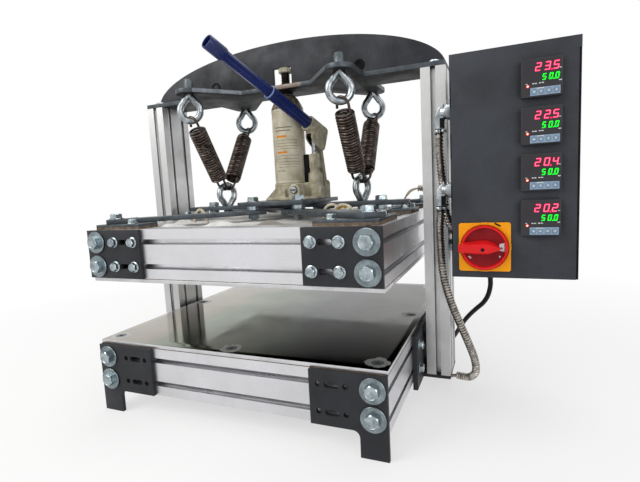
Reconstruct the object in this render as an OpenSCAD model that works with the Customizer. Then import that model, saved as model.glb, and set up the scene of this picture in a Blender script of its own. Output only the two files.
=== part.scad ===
// Heated sheet press: two aluminium platens in frames of slotted profile. A bottle jack
// between the moving frame and a beam plate pushes the upper platen down, and four
// extension springs lift it again. Z is up, Y points to the back, units are millimetres.

/* [Frames] */
// Width of the base and of the moving frame
frame_w = 510; // [480:1:560]
// Depth of the base and of the moving frame
frame_d = 520; // [480:1:580]
// Height of the legs below the base beams
leg_h = 38; // [30:1:60]
// Width of each black corner plate
corner_plate_w = 112.5; // [108:0.5:125]
// Thickness of the black corner plates
corner_plate_t = 6; // [4:0.5:8]
// Width of each leg
leg_w = 40; // [30:1:46]

/* [Slotted profile] */
// Narrow side of the profile; the wide side is twice this
profile_w = 40; // [39:0.5:42]
// Width of the slot's mouth
slot_w = 8.4; // [8.4:0.1:9]
// Thickness of the lips beside the mouth
slot_lip = 4.5; // [4:0.1:5]

/* [Platens] */
// Open gap between the platens with the press up
daylight = 104; // [80:1:120]
// Thickness of each platen
platen_t = 6; // [5:0.5:8]
// Thickness of the gasket between a platen and its beams
gasket_t = 1; // [0.5:0.1:1.5]

/* [Posts and beam] */
// Gap between the base and each post
post_gap = 14; // [13:0.5:18]
// Height of the post's foot above the floor
post_foot_z = 31; // [27:0.5:36]
// Thickness of the beam plate and of the bracket plates
plate_t = 8; // [6:0.5:10]
// Height of the curved plate on the beam
arch_h = 88; // [75:1:110]
// Half spread of the spring hangers along the beam
hanger_x = 150; // [140:1:160]
// Distance of the spring hangers in front of and behind the beam's middle
hanger_y = 100; // [90:1:110]
// Height of the notch that takes the jack's saddle
notch_h = 40; // [34:1:44]

/* [Lifting frame] */
// Thickness of the arms, the cross bar and the centre plate
bar_t = 8; // [6:0.5:10]
// Width of the cross bar and of the arms
bar_w = 38; // [30:1:40]
// Size of the centre plate along the press's width
centre_plate_x = 136; // [130:1:150]
// Size of the centre plate along the press's depth
centre_plate_y = 180; // [170:1:195]

/* [Eyebolts and springs] */
// Mean radius of an eyebolt's ring
ring_r = 19.25; // [18:0.25:21]
// Radius of the eyebolt's bent rod
ring_rod_r = 5.75; // [5:0.25:6]
// Mean radius of a spring's curls
spring_r = 12.25; // [11:0.25:13]
// Radius of the spring wire
spring_wire_r = 1.5; // [1.2:0.1:1.8]
// Curls in each spring
spring_curls = 14; // [10:1:16]

/* [Jack] */
// Outer radius of the oil tank
tank_r = 31.5; // [27:0.5:32]
// Distance of the ram's axis from the press's middle
ram_x = 4; // [2:0.5:4.5]
// Height of the tank tube
tank_h = 141; // [120:1:160]
// Radius of the ram
ram_r = 12.5; // [11:0.5:13]
// Distance of the pump from the press's middle
pump_x = 57; // [55:0.5:60]
// Direction of the handle, seen from above
handle_azimuth = -110; // [-120:1:-100]
// Upward slope of the handle at rest
handle_slope = 26.5; // [20:0.5:30]
// Radius of the handle's lower tube
handle_r = 12; // [11:0.5:12.5]
// Length of the lower tube beyond its socket
handle_lower_l = 102; // [80:1:120]
// Length of the whole handle beyond its socket
handle_l = 237; // [210:1:260]

/* [Control box] */
// Width of the box
box_w = 160.5; // [150:0.5:180]
// Height of the box
box_h = 311; // [305:1:330]
// Depth of the box behind its front panel
box_d = 178; // [170:1:200]
// Height of the box's underside above the floor
box_z = 229; // [215:1:240]
// Distance of the front panel in front of the press's middle
box_front = 142.75; // [135:0.25:150]
// Gap between the post and the box
box_gap = 16.6; // [15.6:0.1:20]
// Side of a controller's square bezel
controller_w = 48; // [46:0.5:50]
// Distance from one controller to the next
controller_pitch = 60; // [56:0.5:62]
// Side of the main switch's square plate
switch_w = 68; // [64:0.5:68.5]

/* [Conduits and cord] */
// Outer radius of the conduit's ribs
conduit_r = 6; // [5:0.25:6]
// Radius of the mains cord
cord_r = 4; // [3:0.25:4]

/* [Hidden] */
$fn = 64;

// one overrun serves all cuts; the fits are named here too
overrun = 1;
butt_gap = 0.2;
run_gap = 0.06;
seat_gap = 0.3;
bolt_gap = 0.1;

// heights of the stack, from the floor up
profile_h = 2 * profile_w;
base_top = leg_h + profile_h;
lower_face = base_top + gasket_t + platen_t;
upper_face = lower_face + daylight;
moving_z = upper_face + platen_t + gasket_t;
moving_top = moving_z + profile_h;
pad_gasket_t = bar_t / 2;
pad_t = bar_t / 2;
arm_z = moving_top + pad_gasket_t + pad_t;
cross_z = arm_z + bar_t;
centre_z = cross_z + bar_t;
jack_z = centre_z + bar_t;
jack_h = 202;
jack_clear = 4;
beam_z = jack_z + jack_h + jack_clear;
beam_top = beam_z + plate_t;

// plan of the posts and the box
side_x = frame_w / 2;
end_y = frame_d / 2;
post_in = side_x + post_gap;
post_out = post_in + profile_w;
post_mid = post_in + profile_w / 2;
box_x = post_out + box_gap;
frame_mid = (box_x + box_w - post_out) / 2;

// slotted profile
slot_pocket_w = 19;
slot_floor_w = 9;
slot_pocket_depth = 4.5;
slot_depth = 12.4;
core_r = 6.1;
cavity_x = 24;
cavity_y = 13;

// fasteners
bolt_r = 6;
bolt_af = 19;
bolt_head = 7.5;
washer_r = 18.5;
washer_t = 3;
bolt_shank = 34;
bolt_edge = profile_w / 2;
nut_h = 10;
thin_nut_h = 4.2;
small_r = 4;
small_af = 13;
small_head = 6;
flange_r = 8.75;
flange_t = 1.6;
small_shank = slot_lip + 5;
slot_nut_w = 15;
slot_nut_t = 4;
slot_nut_gap = 0.3;
hole_near = 58.4;
hole_far = 98.8;
plate_slot_l = 22;
plate_slot_w = 8.4;
leg_fillet = 10;

// a profile's cross-section: one slot on each narrow side and two on each wide one
module slot_cut() {
    polygon([
        [-slot_w / 2, -overrun], [slot_w / 2, -overrun], [slot_w / 2, slot_lip],
        [slot_pocket_w / 2, slot_lip], [slot_pocket_w / 2, slot_lip + slot_pocket_depth / 2],
        [slot_floor_w / 2, slot_depth], [-slot_floor_w / 2, slot_depth],
        [-slot_pocket_w / 2, slot_lip + slot_pocket_depth / 2], [-slot_pocket_w / 2, slot_lip],
        [-slot_w / 2, slot_lip]
    ]);
}

module profile() {
    difference() {
        square([profile_w, profile_h], center = true);
        for (cell = [-1, 1]) {
            for (side = [-1, 1]) {
                translate([side * profile_w / 2, cell * profile_w / 2])
                    rotate(side * 90)
                        slot_cut();
            }
            translate([0, cell * profile_h / 2])
                rotate(cell > 0 ? 180 : 0)
                    slot_cut();
            translate([0, cell * profile_w / 2])
                circle(r = core_r);
        }
        square([cavity_x, cavity_y], center = true);
    }
}

module beam_along_y(length) {
    rotate([90, 0, 0])
        linear_extrude(length, center = true)
            profile();
}

module beam_along_x(length) {
    rotate([90, 0, 90])
        linear_extrude(length, center = true)
            profile();
}

module beam_frame(z) {
    for (side = [-1, 1]) {
        translate([side * (side_x - profile_w / 2), 0, z + profile_h / 2])
            beam_along_y(frame_d);
        translate([0, side * (end_y - profile_w / 2), z + profile_h / 2])
            beam_along_x(frame_w - 2 * profile_w - 2 * butt_gap);
    }
}

// copies of a piece mirrored to the left and the right, the front and the back
module both_sides() {
    children();
    mirror([1, 0, 0])
        children();
}

module both_ends() {
    children();
    mirror([0, 1, 0])
        children();
}

module corners() {
    both_ends()
        both_sides()
            children();
}

// fasteners stand on z = 0 with the shank pointing down
module hex_bolt(shank_r, shank_l, af, head_h, flange_radius, flange_h) {
    cylinder(r = flange_radius, h = flange_h);
    translate([0, 0, flange_h])
        cylinder(d = af / cos(30), h = head_h, $fn = 6);
    translate([0, 0, -shank_l])
        cylinder(r = shank_r, h = shank_l + flange_h);
}

module big_bolt(shank_l = bolt_shank) {
    hex_bolt(bolt_r, shank_l, bolt_af, bolt_head, washer_r, washer_t);
}

module small_bolt(shank_l = small_shank) {
    hex_bolt(small_r, shank_l, small_af, small_head, flange_r, flange_t);
}

// a hole upwards from z = 0 through a thickness
module through(radius, depth) {
    translate([0, 0, -overrun])
        cylinder(r = radius, h = depth + 2 * overrun);
}

module hex_nut(height) {
    difference() {
        cylinder(d = bolt_af / cos(30), h = height, $fn = 6);
        through(bolt_r + bolt_gap, height);
    }
}

// a slot nut whose top face lies against the lips, z = 0 is the profile's outer face
module slot_nut() {
    translate([0, 0, -slot_lip - slot_nut_gap - slot_nut_t])
        difference() {
            translate([-slot_nut_w / 2, -slot_nut_w / 2, 0])
                cube([slot_nut_w, slot_nut_w, slot_nut_t]);
            through(small_r + bolt_gap, slot_nut_t);
        }
}

module on_front(y) {
    translate([0, y, 0])
        rotate([90, 0, 0])
            children();
}

module round_slot(length, width) {
    square([length - width, width], center = true);
    for (side = [-1, 1]) {
        translate([side * (length - width) / 2, 0])
            circle(d = width);
    }
}

// corner plates: x runs inwards from the outer edge, y up from the beam's underside
module corner_plate_outline(with_leg) {
    square([corner_plate_w, profile_h]);
    if (with_leg) {
        translate([0, -leg_h])
            square([leg_w, leg_h + overrun]);
        difference() {
            translate([leg_w - overrun, -leg_fillet])
                square([leg_fillet + overrun, leg_fillet + overrun]);
            translate([leg_w + leg_fillet, -leg_fillet])
                circle(r = leg_fillet);
        }
    }
}

module corner_plate(with_leg) {
    linear_extrude(corner_plate_t)
        difference() {
            corner_plate_outline(with_leg);
            for (cell = [0, 1]) {
                translate([0, (cell + 1 / 2) * profile_w]) {
                    translate([bolt_edge, 0])
                        circle(r = bolt_r + bolt_gap);
                    for (across = [hole_near, hole_far]) {
                        translate([across, 0])
                            circle(r = small_r + bolt_gap);
                    }
                    translate([(hole_near + hole_far) / 2, 0])
                        round_slot(plate_slot_l, plate_slot_w);
                }
            }
        }
}

module corner_plates(z, with_leg) {
    corners()
        translate([side_x, -end_y, z])
            mirror([1, 0, 0])
                rotate([90, 0, 0])
                    corner_plate(with_leg);
}

module corner_bolts(z) {
    corners()
        for (cell = [0, 1]) {
            translate([side_x - bolt_edge, 0, z + (cell + 1 / 2) * profile_w])
                on_front(-end_y - corner_plate_t)
                    big_bolt();
        }
}

module base_beams() {
    color("silver")
        beam_frame(leg_h);
}

module base_corner_plates() {
    color("#26272a")
        corner_plates(leg_h, true);
}

// posts on their brackets
bracket_y = 98;
bracket_bolt_y = 80;
foot_t = 6;
foot_bolt_y = profile_w / 2;
post_bolt_shank = 30;
post_h = beam_z - post_foot_z;

module posts() {
    color("silver")
        both_sides()
            translate([post_mid, 0, post_foot_z])
                linear_extrude(post_h)
                    profile();
}

module post_brackets() {
    color("#202124")
        both_sides()
            difference() {
                union() {
                    translate([side_x, -bracket_y, post_foot_z - foot_t])
                        cube([plate_t, 2 * bracket_y, base_top - post_foot_z + foot_t]);
                    translate([side_x, -profile_h / 2, post_foot_z - foot_t])
                        cube([post_out - side_x, profile_h, foot_t]);
                }
                for (side = [-1, 1]) {
                    for (cell = [0, 1]) {
                        translate([side_x, side * bracket_bolt_y, leg_h + (cell + 1 / 2) * profile_w])
                            rotate([0, 90, 0])
                                through(small_r + bolt_gap, plate_t);
                    }
                    translate([post_mid, side * foot_bolt_y, post_foot_z - foot_t])
                        through(bolt_r + bolt_gap, foot_t);
                }
            }
}

module bracket_bolts() {
    for (side = [-1, 1]) {
        for (cell = [0, 1]) {
            translate([side_x, side * bracket_bolt_y, leg_h + (cell + 1 / 2) * profile_w])
                rotate([0, 90, 0]) {
                    translate([0, 0, plate_t])
                        small_bolt(plate_t + small_shank);
                    slot_nut();
                }
        }
        translate([post_mid, side * foot_bolt_y, post_foot_z - foot_t])
            rotate([180, 0, 0])
                small_headed_core_bolt();
        translate([post_mid, side * foot_bolt_y, beam_top])
            small_headed_core_bolt();
    }
}

// screws into the end of a post: a low head, so that it clears the floor
core_head_r = 10;
core_head_h = 5;

module small_headed_core_bolt() {
    cylinder(r = core_head_r, h = core_head_h);
    translate([0, 0, -post_bolt_shank])
        cylinder(r = bolt_r, h = post_bolt_shank + overrun);
}

module frame_bolts() {
    color("#c9cccf") {
        corner_bolts(leg_h);
        both_sides()
            bracket_bolts();
    }
}

// platens, their gaskets, screws and heaters
screw_inset = 24;
screw_head_r = 9;
screw_head_h = 5;
screw_socket_af = 6;
screw_socket_depth = 2.5;
heater_w = 60;
heater_t = 8;
heater_l_share = 0.66;
heater_pitch_share = 0.2;

module platen_plate(z) {
    translate([0, 0, z + platen_t / 2])
        cube([frame_w, frame_d, platen_t], center = true);
}

module gasket_ring(z) {
    translate([0, 0, z])
        linear_extrude(gasket_t)
            difference() {
                square([frame_w, frame_d], center = true);
                square([frame_w - 2 * profile_w, frame_d - 2 * profile_w], center = true);
            }
}

module screw_places() {
    corners()
        translate([side_x - bolt_edge, end_y - screw_inset, lower_face])
            children();
    both_ends()
        translate([0, end_y - bolt_edge, lower_face])
            children();
    both_sides()
        translate([side_x - bolt_edge, 0, lower_face])
            children();
}

module lower_platen() {
    color("#9fa6aa")
        difference() {
            platen_plate(base_top + gasket_t);
            screw_places()
                translate([0, 0, -platen_t]) {
                    through(small_r + bolt_gap, platen_t);
                    translate([0, 0, platen_t - screw_head_h + overrun])
                        through(screw_head_r + bolt_gap, screw_head_h - overrun);
                }
        }
}

module lower_gasket() {
    color("#8a6a45")
        difference() {
            gasket_ring(base_top);
            screw_places()
                translate([0, 0, -platen_t - gasket_t])
                    through(small_r + bolt_gap, gasket_t);
        }
}

module lower_platen_screws() {
    color("#7d8184")
        screw_places()
            difference() {
                translate([0, 0, -screw_head_h]) {
                    cylinder(r = screw_head_r, h = screw_head_h);
                    translate([0, 0, -platen_t - gasket_t])
                        cylinder(r = small_r, h = platen_t + gasket_t + overrun);
                }
                translate([0, 0, -screw_socket_depth])
                    cylinder(d = screw_socket_af / cos(30), h = screw_socket_depth + overrun, $fn = 6);
            }
}

module heater_strips(z) {
    for (row = [-1, 0, 1]) {
        translate([0, row * heater_pitch_share * frame_d, z + heater_t / 2])
            cube([heater_l_share * frame_w, heater_w, heater_t], center = true);
    }
}

module lower_heaters() {
    color("#b9a27a")
        heater_strips(base_top + gasket_t - heater_t);
}

module upper_platen() {
    color("#9fa6aa")
        platen_plate(upper_face);
}

module upper_heaters() {
    color("#b9a27a")
        heater_strips(upper_face + platen_t);
}

// beam plate with four ears, and the curved plate that stands on it
ear_r = 24;
ear_shank_gap = 0.25;
neck_x = 72;
ram_hole_r = ram_r + 1.5;
beam_half = profile_h / 2;

// the ear's slanting edge runs from the neck to touch the round end
module ear_outline() {
    reach = [hanger_x - neck_x, hanger_y - beam_half];
    lean = atan2(reach[1], reach[0]) + asin(ear_r / norm(reach));
    translate([hanger_x, -hanger_y])
        circle(r = ear_r);
    polygon([
        [hanger_x + ear_r, -hanger_y], [hanger_x + ear_r, -beam_half + overrun],
        [neck_x, -beam_half + overrun], [neck_x, -beam_half],
        [hanger_x - ear_r * sin(lean), -hanger_y - ear_r * cos(lean)], [hanger_x, -hanger_y]
    ]);
}

module beam_plate() {
    color("#3a3b3e")
        translate([0, 0, beam_z])
            linear_extrude(plate_t)
                difference() {
                    union() {
                        square([2 * post_out, profile_h], center = true);
                        corners()
                            ear_outline();
                    }
                    translate([ram_x, 0])
                        circle(r = ram_hole_r);
                    corners() {
                        translate([hanger_x, -hanger_y])
                            circle(r = bolt_r + ear_shank_gap);
                        translate([post_mid, -foot_bolt_y])
                            circle(r = bolt_r + bolt_gap);
                    }
                }
}

arch_points = 48;
notch_w = 39;
notch_left = 20.5;
arch_inset = 3;
arch_hole_r = 11;
arch_hole_x = 155;
arch_hole_z = 22;

module arch_plate() {
    half_w = post_out - arch_inset;
    color("#3a3b3e")
        translate([0, plate_t / 2, beam_top])
            rotate([90, 0, 0])
                linear_extrude(plate_t)
                    difference() {
                        polygon([for (i = [0 : arch_points])
                            [half_w * cos(180 * i / arch_points), arch_h * sin(180 * i / arch_points)]]);
                        translate([-notch_left, -overrun])
                            square([notch_w, notch_h + overrun]);
                        translate([arch_hole_x, arch_hole_z])
                            circle(r = arch_hole_r);
                    }
}

// eyebolts: the upper ones hang from the ears, the lower ones stand on the cross bar
upper_ring_drop = ring_r + ring_rod_r + thin_nut_h + seat_gap;
upper_ring_z = beam_z - upper_ring_drop;
upper_ring_turn = 25;
upper_shank_top = beam_top + nut_h + bolt_edge / 2;
lower_ring_z = centre_z + ring_r + ring_rod_r + seat_gap;
lower_ring_turn = 70;
lower_shank_z = cross_z - nut_h - overrun;

module ring(turn) {
    rotate([90, 0, turn])
        rotate_extrude()
            translate([ring_r, 0])
                circle(r = ring_rod_r, $fn = 32);
}

module upper_eyebolts() {
    color("#b4b7ba")
        for (x = [-hanger_x, hanger_x]) {
            for (y = [-hanger_y, hanger_y]) {
                translate([x, y, 0]) {
                    translate([0, 0, upper_ring_z])
                        ring(upper_ring_turn);
                    translate([0, 0, upper_ring_z + ring_r])
                        cylinder(r = bolt_r, h = upper_shank_top - upper_ring_z - ring_r);
                    translate([0, 0, beam_top + butt_gap / 2])
                        hex_nut(nut_h);
                    translate([0, 0, beam_z - thin_nut_h - butt_gap / 2])
                        hex_nut(thin_nut_h);
                }
            }
        }
}

module lower_eyebolts() {
    color("#b4b7ba")
        for (x = [-hanger_x, hanger_x]) {
            translate([x, 0, 0]) {
                translate([0, 0, lower_ring_z])
                    ring(lower_ring_turn);
                translate([0, 0, lower_shank_z])
                    cylinder(r = bolt_r, h = lower_ring_z - ring_r - lower_shank_z);
                translate([0, 0, cross_z - nut_h - butt_gap / 2])
                    hex_nut(nut_h);
            }
        }
}

// lifting frame on top of the moving frame
pad_edge = 7;
pad_x = 93;
pad_y = 105;
pad_corner = 60;
mid_pad_x = 41;
mid_pad_y = 38;
mid_bolt_y = 28;
arm_inner_x = 42;
arm_inner_y = 72;
arm_end_inset_x = 17;
arm_end_inset_y = 24;
arm_bolt_back = 14;
centre_bolt_x = 48;
centre_bolt_y = 66;
centre_spacer_r = 12;
cross_bar_inset = 19;
cross_bolt_x = 186;
cross_spacer_w = 24;

module corner_pad_outline() {
    outer_x = side_x - pad_edge;
    outer_y = end_y - pad_edge - overrun;
    polygon([
        [outer_x, outer_y], [outer_x - pad_x, outer_y], [outer_x - pad_x, outer_y - pad_y + pad_corner],
        [outer_x - pad_x + pad_corner, outer_y - pad_y], [outer_x, outer_y - pad_y]
    ]);
}

pad_bolt_x = 178;
pad_bolt_y = 178;

module pad_bolt_places() {
    translate([pad_bolt_x, end_y - bolt_edge])
        children();
    translate([side_x - bolt_edge, pad_bolt_y])
        children();
}

module pads(z, thickness) {
    corners() {
        translate([0, 0, z])
            linear_extrude(thickness)
                difference() {
                    corner_pad_outline();
                    pad_bolt_places()
                        circle(r = small_r + bolt_gap);
                    translate(arm_bolt_place())
                        circle(r = bolt_r + bolt_gap);
                }
    }
    both_sides()
        translate([0, 0, z])
            linear_extrude(thickness)
                difference() {
                    translate([side_x - pad_edge - mid_pad_x, -mid_pad_y])
                        square([mid_pad_x, 2 * mid_pad_y]);
                    for (side = [-1, 1]) {
                        translate([side_x - bolt_edge, side * mid_bolt_y])
                            circle(r = small_r + bolt_gap);
                    }
                }
}

module platen_gaskets() {
    color("#8a6a45") {
        gasket_ring(upper_face + platen_t);
        pads(moving_top, pad_gasket_t);
    }
}

module pad_plates() {
    color("#5d5f62")
        pads(moving_top + pad_gasket_t, pad_t);
}

// the arm's middle line runs from under the centre plate to the frame's corner
arm_end_x = side_x - arm_end_inset_x;
arm_end_y = end_y - arm_end_inset_y;
arm_run_x = arm_end_x - arm_inner_x;
arm_run_y = arm_end_y - arm_inner_y;
arm_l = sqrt(arm_run_x * arm_run_x + arm_run_y * arm_run_y);
arm_turn = atan2(arm_run_y, arm_run_x);

function arm_bolt_place() = [arm_end_x - arm_bolt_back * cos(arm_turn),
    arm_end_y - arm_bolt_back * sin(arm_turn)];

module spider_arms() {
    color("#56585c")
        corners()
            translate([0, 0, arm_z])
                difference() {
                    translate([arm_inner_x, arm_inner_y, 0])
                        rotate([0, 0, arm_turn])
                            translate([-bar_w / 2, -bar_w / 2, 0])
                                cube([arm_l + bar_w / 2, bar_w, bar_t]);
                    translate(arm_bolt_place())
                        through(bolt_r + bolt_gap, bar_t);
                    translate([centre_bolt_x, centre_bolt_y, 0])
                        through(bolt_r + bolt_gap, bar_t);
                }
}

module cross_bar() {
    color("#56585c")
        translate([0, 0, cross_z])
            linear_extrude(bar_t)
                difference() {
                    square([2 * (side_x - cross_bar_inset), bar_w], center = true);
                    both_sides() {
                        translate([hanger_x, 0])
                            circle(r = bolt_r + bolt_gap);
                        translate([cross_bolt_x, 0])
                            circle(r = bolt_r + bolt_gap);
                    }
                }
}

module centre_plate() {
    color("#4d4f53")
        difference() {
            translate([-centre_plate_x / 2, -centre_plate_y / 2, centre_z])
                cube([centre_plate_x, centre_plate_y, bar_t]);
            corners()
                translate([centre_bolt_x, centre_bolt_y, centre_z])
                    through(bolt_r + bolt_gap, bar_t);
        }
}

// every fastener of the moving frame, and the spacers under the cross bar and centre plate
low_nut_h = 6.5;

module bar_bolt(shank_l) {
    hex_bolt(bolt_r, shank_l, bolt_af, bolt_head, centre_spacer_r, flange_t);
}

module pad_bolt() {
    translate([0, 0, arm_z])
        small_bolt(pad_t + pad_gasket_t + small_shank);
    translate([0, 0, moving_top])
        slot_nut();
}

module spider_bolts() {
    corners() {
        translate([centre_bolt_x, centre_bolt_y, jack_z])
            bar_bolt(jack_z - arm_z + low_nut_h);
        translate([centre_bolt_x, centre_bolt_y, arm_z - low_nut_h - butt_gap / 2])
            hex_nut(low_nut_h);
        translate([centre_bolt_x, centre_bolt_y, cross_z + butt_gap / 2])
            difference() {
                cylinder(r = centre_spacer_r, h = bar_t - butt_gap);
                through(bolt_r + bolt_gap, bar_t);
            }
        translate(concat(arm_bolt_place(), [cross_z]))
            bar_bolt(cross_z - moving_top);
        pad_bolt_places()
            pad_bolt();
    }
    both_sides() {
        for (side = [-1, 1]) {
            translate([side_x - bolt_edge, side * mid_bolt_y, 0])
                pad_bolt();
        }
        translate([side_x - pad_edge - mid_pad_x + cross_spacer_w / 2, 0, arm_z + bar_t / 2])
            cube([cross_spacer_w, bar_w / 2, bar_t - butt_gap], center = true);
        translate([cross_bolt_x, 0, centre_z])
            bar_bolt(bar_t + nut_h);
        translate([cross_bolt_x, 0, cross_z - nut_h - butt_gap / 2])
            hex_nut(nut_h);
    }
}

module platen_bolts() {
    color("#c9cccf") {
        corner_bolts(moving_z);
        corners()
            for (cell = [0, 1]) {
                for (across = [hole_near, hole_far]) {
                    translate([side_x - across, 0, moving_z + (cell + 1 / 2) * profile_w])
                        on_front(-end_y - corner_plate_t) {
                            small_bolt(corner_plate_t + small_shank);
                            translate([0, 0, -corner_plate_t])
                                slot_nut();
                        }
                }
            }
        spider_bolts();
    }
}

module platen_beams() {
    color("silver")
        beam_frame(moving_z);
}

module platen_corner_plates() {
    color("#26272a")
        corner_plates(moving_z, false);
}

// mineral wool over the heaters, with its swell at the front left
wool_gap = 1;
wool_drop = 4;
swell_h = 10;
swell_x_shares = [-0.28, -0.1, 0.1];
swell_y_shares = [-0.36, -0.33, -0.36];
swell_r = 28;

module insulation() {
    color("#d8d5cc") {
        translate([-side_x + profile_w + wool_gap, -end_y + profile_w + wool_gap,
            upper_face + platen_t + heater_t + seat_gap])
            cube([frame_w - 2 * profile_w - 2 * wool_gap, frame_d - 2 * profile_w - 2 * wool_gap,
                moving_top - wool_drop - upper_face - platen_t - heater_t - seat_gap]);
        for (i = [0 : len(swell_x_shares) - 1]) {
            translate([swell_x_shares[i] * frame_w, swell_y_shares[i] * frame_d,
                moving_top - wool_drop - overrun])
                hull() {
                    cylinder(r = swell_r, h = overrun, $fn = 24);
                    cylinder(r = swell_r / 2, h = swell_h, $fn = 24);
                }
        }
    }
}

// tubes swept along points: the frame turns as little as it can from ring to ring
function unit(v) = v / norm(v);
function square_to(v, direction) = unit(v - (v * direction) * direction);
function tangents(path) = let (last = len(path) - 1)
    [for (i = [0 : last]) unit(path[min(i + 1, last)] - path[max(i - 1, 0)])];
function normals(ways, first) = let (last = len(ways) - 1)
    [for (i = 0, n = square_to(first, ways[0]); i <= last;
        i = i + 1, n = square_to(n, ways[min(i, last)])) n];
function ring_at(point, way, normal, radius, sides) = let (other = cross(way, normal))
    [for (k = [0 : sides - 1])
        point + radius * (cos(360 * k / sides) * normal + sin(360 * k / sides) * other)];

// a smooth curve through hand-chosen points
function curve_at(points, at) = let (
        last = len(points) - 1, i = min(floor(at), last - 1), t = at - i,
        p1 = points[i], p2 = points[i + 1],
        m1 = (points[i + 1] - points[max(i - 1, 0)]) / (i == 0 ? 1 : 2),
        m2 = (points[min(i + 2, last)] - points[i]) / (i + 2 > last ? 1 : 2))
    (2 * t * t * t - 3 * t * t + 1) * p1 + (t * t * t - 2 * t * t + t) * m1
        + (3 * t * t - 2 * t * t * t) * p2 + (t * t * t - t * t) * m2;
function curve(points, steps) = [for (i = [0 : steps]) curve_at(points, i * (len(points) - 1) / steps)];

// the least distance between two stretches of a tube that lie further apart along it
function least_gap(path, radius, apart) = min([
    for (i = [0 : len(path) - 1 - apart]) min([
        for (j = [i + apart : len(path) - 1]) norm(path[i] - path[j])])]) - 2 * radius;

module closed_rings(rings) {
    sides = len(rings[0]);
    points = [for (one = rings) for (p = one) p];
    last = len(rings) - 1;
    walls = [for (i = [0 : last - 1]) for (k = [0 : sides - 1])
        let (a = i * sides + k, b = i * sides + (k + 1) % sides)
        each [[a, a + sides, b + sides], [a, b + sides, b]]];
    start = [for (k = [1 : sides - 2]) [0, k, k + 1]];
    finish = [for (k = [1 : sides - 2]) [last * sides, last * sides + k + 1, last * sides + k]];
    polyhedron(points, concat(walls, start, finish));
}

module looped_rings(rings) {
    sides = len(rings[0]);
    points = [for (one = rings) for (p = one) p];
    count = len(rings);
    polyhedron(points, [for (i = [0 : count - 1]) for (k = [0 : sides - 1])
        let (next = (i + 1) % count, a = i * sides + k, b = i * sides + (k + 1) % sides,
            c = next * sides + (k + 1) % sides, d = next * sides + k)
        each [[a, d, c], [a, c, b]]]);
}

module tube(path, first, radius, sides) {
    ways = tangents(path);
    sideways = normals(ways, first);
    closed_rings([for (i = [0 : len(path) - 1])
        ring_at(path[i], ways[i], sideways[i], radius, sides)]);
}

// a ribbed hose with its bore: two rings for each rib outside, plain inside
rib_depth = 1.2;
hose_wall = 1.6;
hose_sides = 6;
bore_rings = 14;

module ribbed_hose(points, first, radius, ribs) {
    outer = curve(points, 2 * ribs);
    ways = tangents(outer);
    sideways = normals(ways, first);
    last = len(outer) - 1;
    bore_radius = radius - rib_depth - hose_wall;
    looped_rings(concat(
        [for (i = [0 : last]) ring_at(outer[i], ways[i], sideways[i],
            i % 2 == 0 ? radius - rib_depth : radius, hose_sides)],
        [for (s = [0 : bore_rings]) let (i = round((bore_rings - s) * last / bore_rings))
            ring_at(outer[i], ways[i], sideways[i], bore_radius, hose_sides)]));
}

// springs: a hook over the lower ring, the curls, and a hook through the upper ring
hook_l = 31;
hook_stub = 3;
hook_steps = 6;
curl_rings = 8;
spring_sides = 6;
hook_reach = ring_rod_r + spring_wire_r + seat_gap;

function spring_path(x, y) = let (
        low_centre = [x, 0, lower_ring_z], high_centre = [x, y, upper_ring_z],
        low_normal = [sin(lower_ring_turn), -cos(lower_ring_turn), 0],
        high_normal = [sin(upper_ring_turn), -cos(upper_ring_turn), 0],
        line = high_centre - low_centre,
        low_rod = low_centre + ring_r * square_to(line, low_normal),
        high_rod = high_centre + ring_r * square_to(-line, high_normal),
        way = unit(high_rod - low_rod),
        low = low_rod - hook_reach * way,
        length = norm(high_rod - low_rod) + 2 * hook_reach,
        ex = square_to(low_normal, way), ey = cross(way, ex),
        high_side = square_to(high_normal, way),
        phase = atan2(high_side * ey, high_side * ex),
        turn = spring_curls * 360 + phase,
        rings = spring_curls * curl_rings,
        from = hook_l, to = length - hook_l)
    [for (p = concat(
        [[-spring_r, 0, spring_r + hook_stub]],
        [for (i = [0 : hook_steps]) let (a = 180 + 180 * i / hook_steps)
            [spring_r * cos(a), 0, spring_r + spring_r * sin(a)]],
        [[spring_r, 0, (spring_r + from) / 2], [spring_r, 0, from - spring_wire_r]],
        [for (i = [0 : rings]) let (a = turn * i / rings)
            [spring_r * cos(a), spring_r * sin(a), from + (to - from) * i / rings]],
        [for (h = [to + spring_wire_r, (to + length - spring_r) / 2])
            [spring_r * cos(phase), spring_r * sin(phase), h]],
        [for (i = [0 : hook_steps]) let (a = 180 * i / hook_steps, s = spring_r * cos(a))
            [s * cos(phase), s * sin(phase), length - spring_r + spring_r * sin(a)]],
        [[-spring_r * cos(phase), -spring_r * sin(phase), length - spring_r - hook_stub]]))
        low + p[0] * ex + p[1] * ey + p[2] * way];

module spring(x, y) {
    path = spring_path(x, y);
    color("#3b3a38")
        tube(path, slant, spring_wire_r, spring_sides);
    echo(spring_least_gap = least_gap(path, spring_wire_r, curl_rings / 2));
}

module spring_front_left() {
    spring(-hanger_x, -hanger_y);
}

module spring_front_right() {
    spring(hanger_x, -hanger_y);
}

module spring_back_left() {
    spring(-hanger_x, hanger_y);
}

module spring_back_right() {
    spring(hanger_x, hanger_y);
}

// pieces of the pump stand in the lever's own plane: x points along the handle, seen from above
module in_lever_plane() {
    translate([pump_x, 0, 0])
        rotate([0, 0, handle_azimuth])
            children();
}

module across_lever(radius, thickness) {
    rotate([90, 0, 0])
        cylinder(r = radius, h = thickness, center = true);
}

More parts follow.
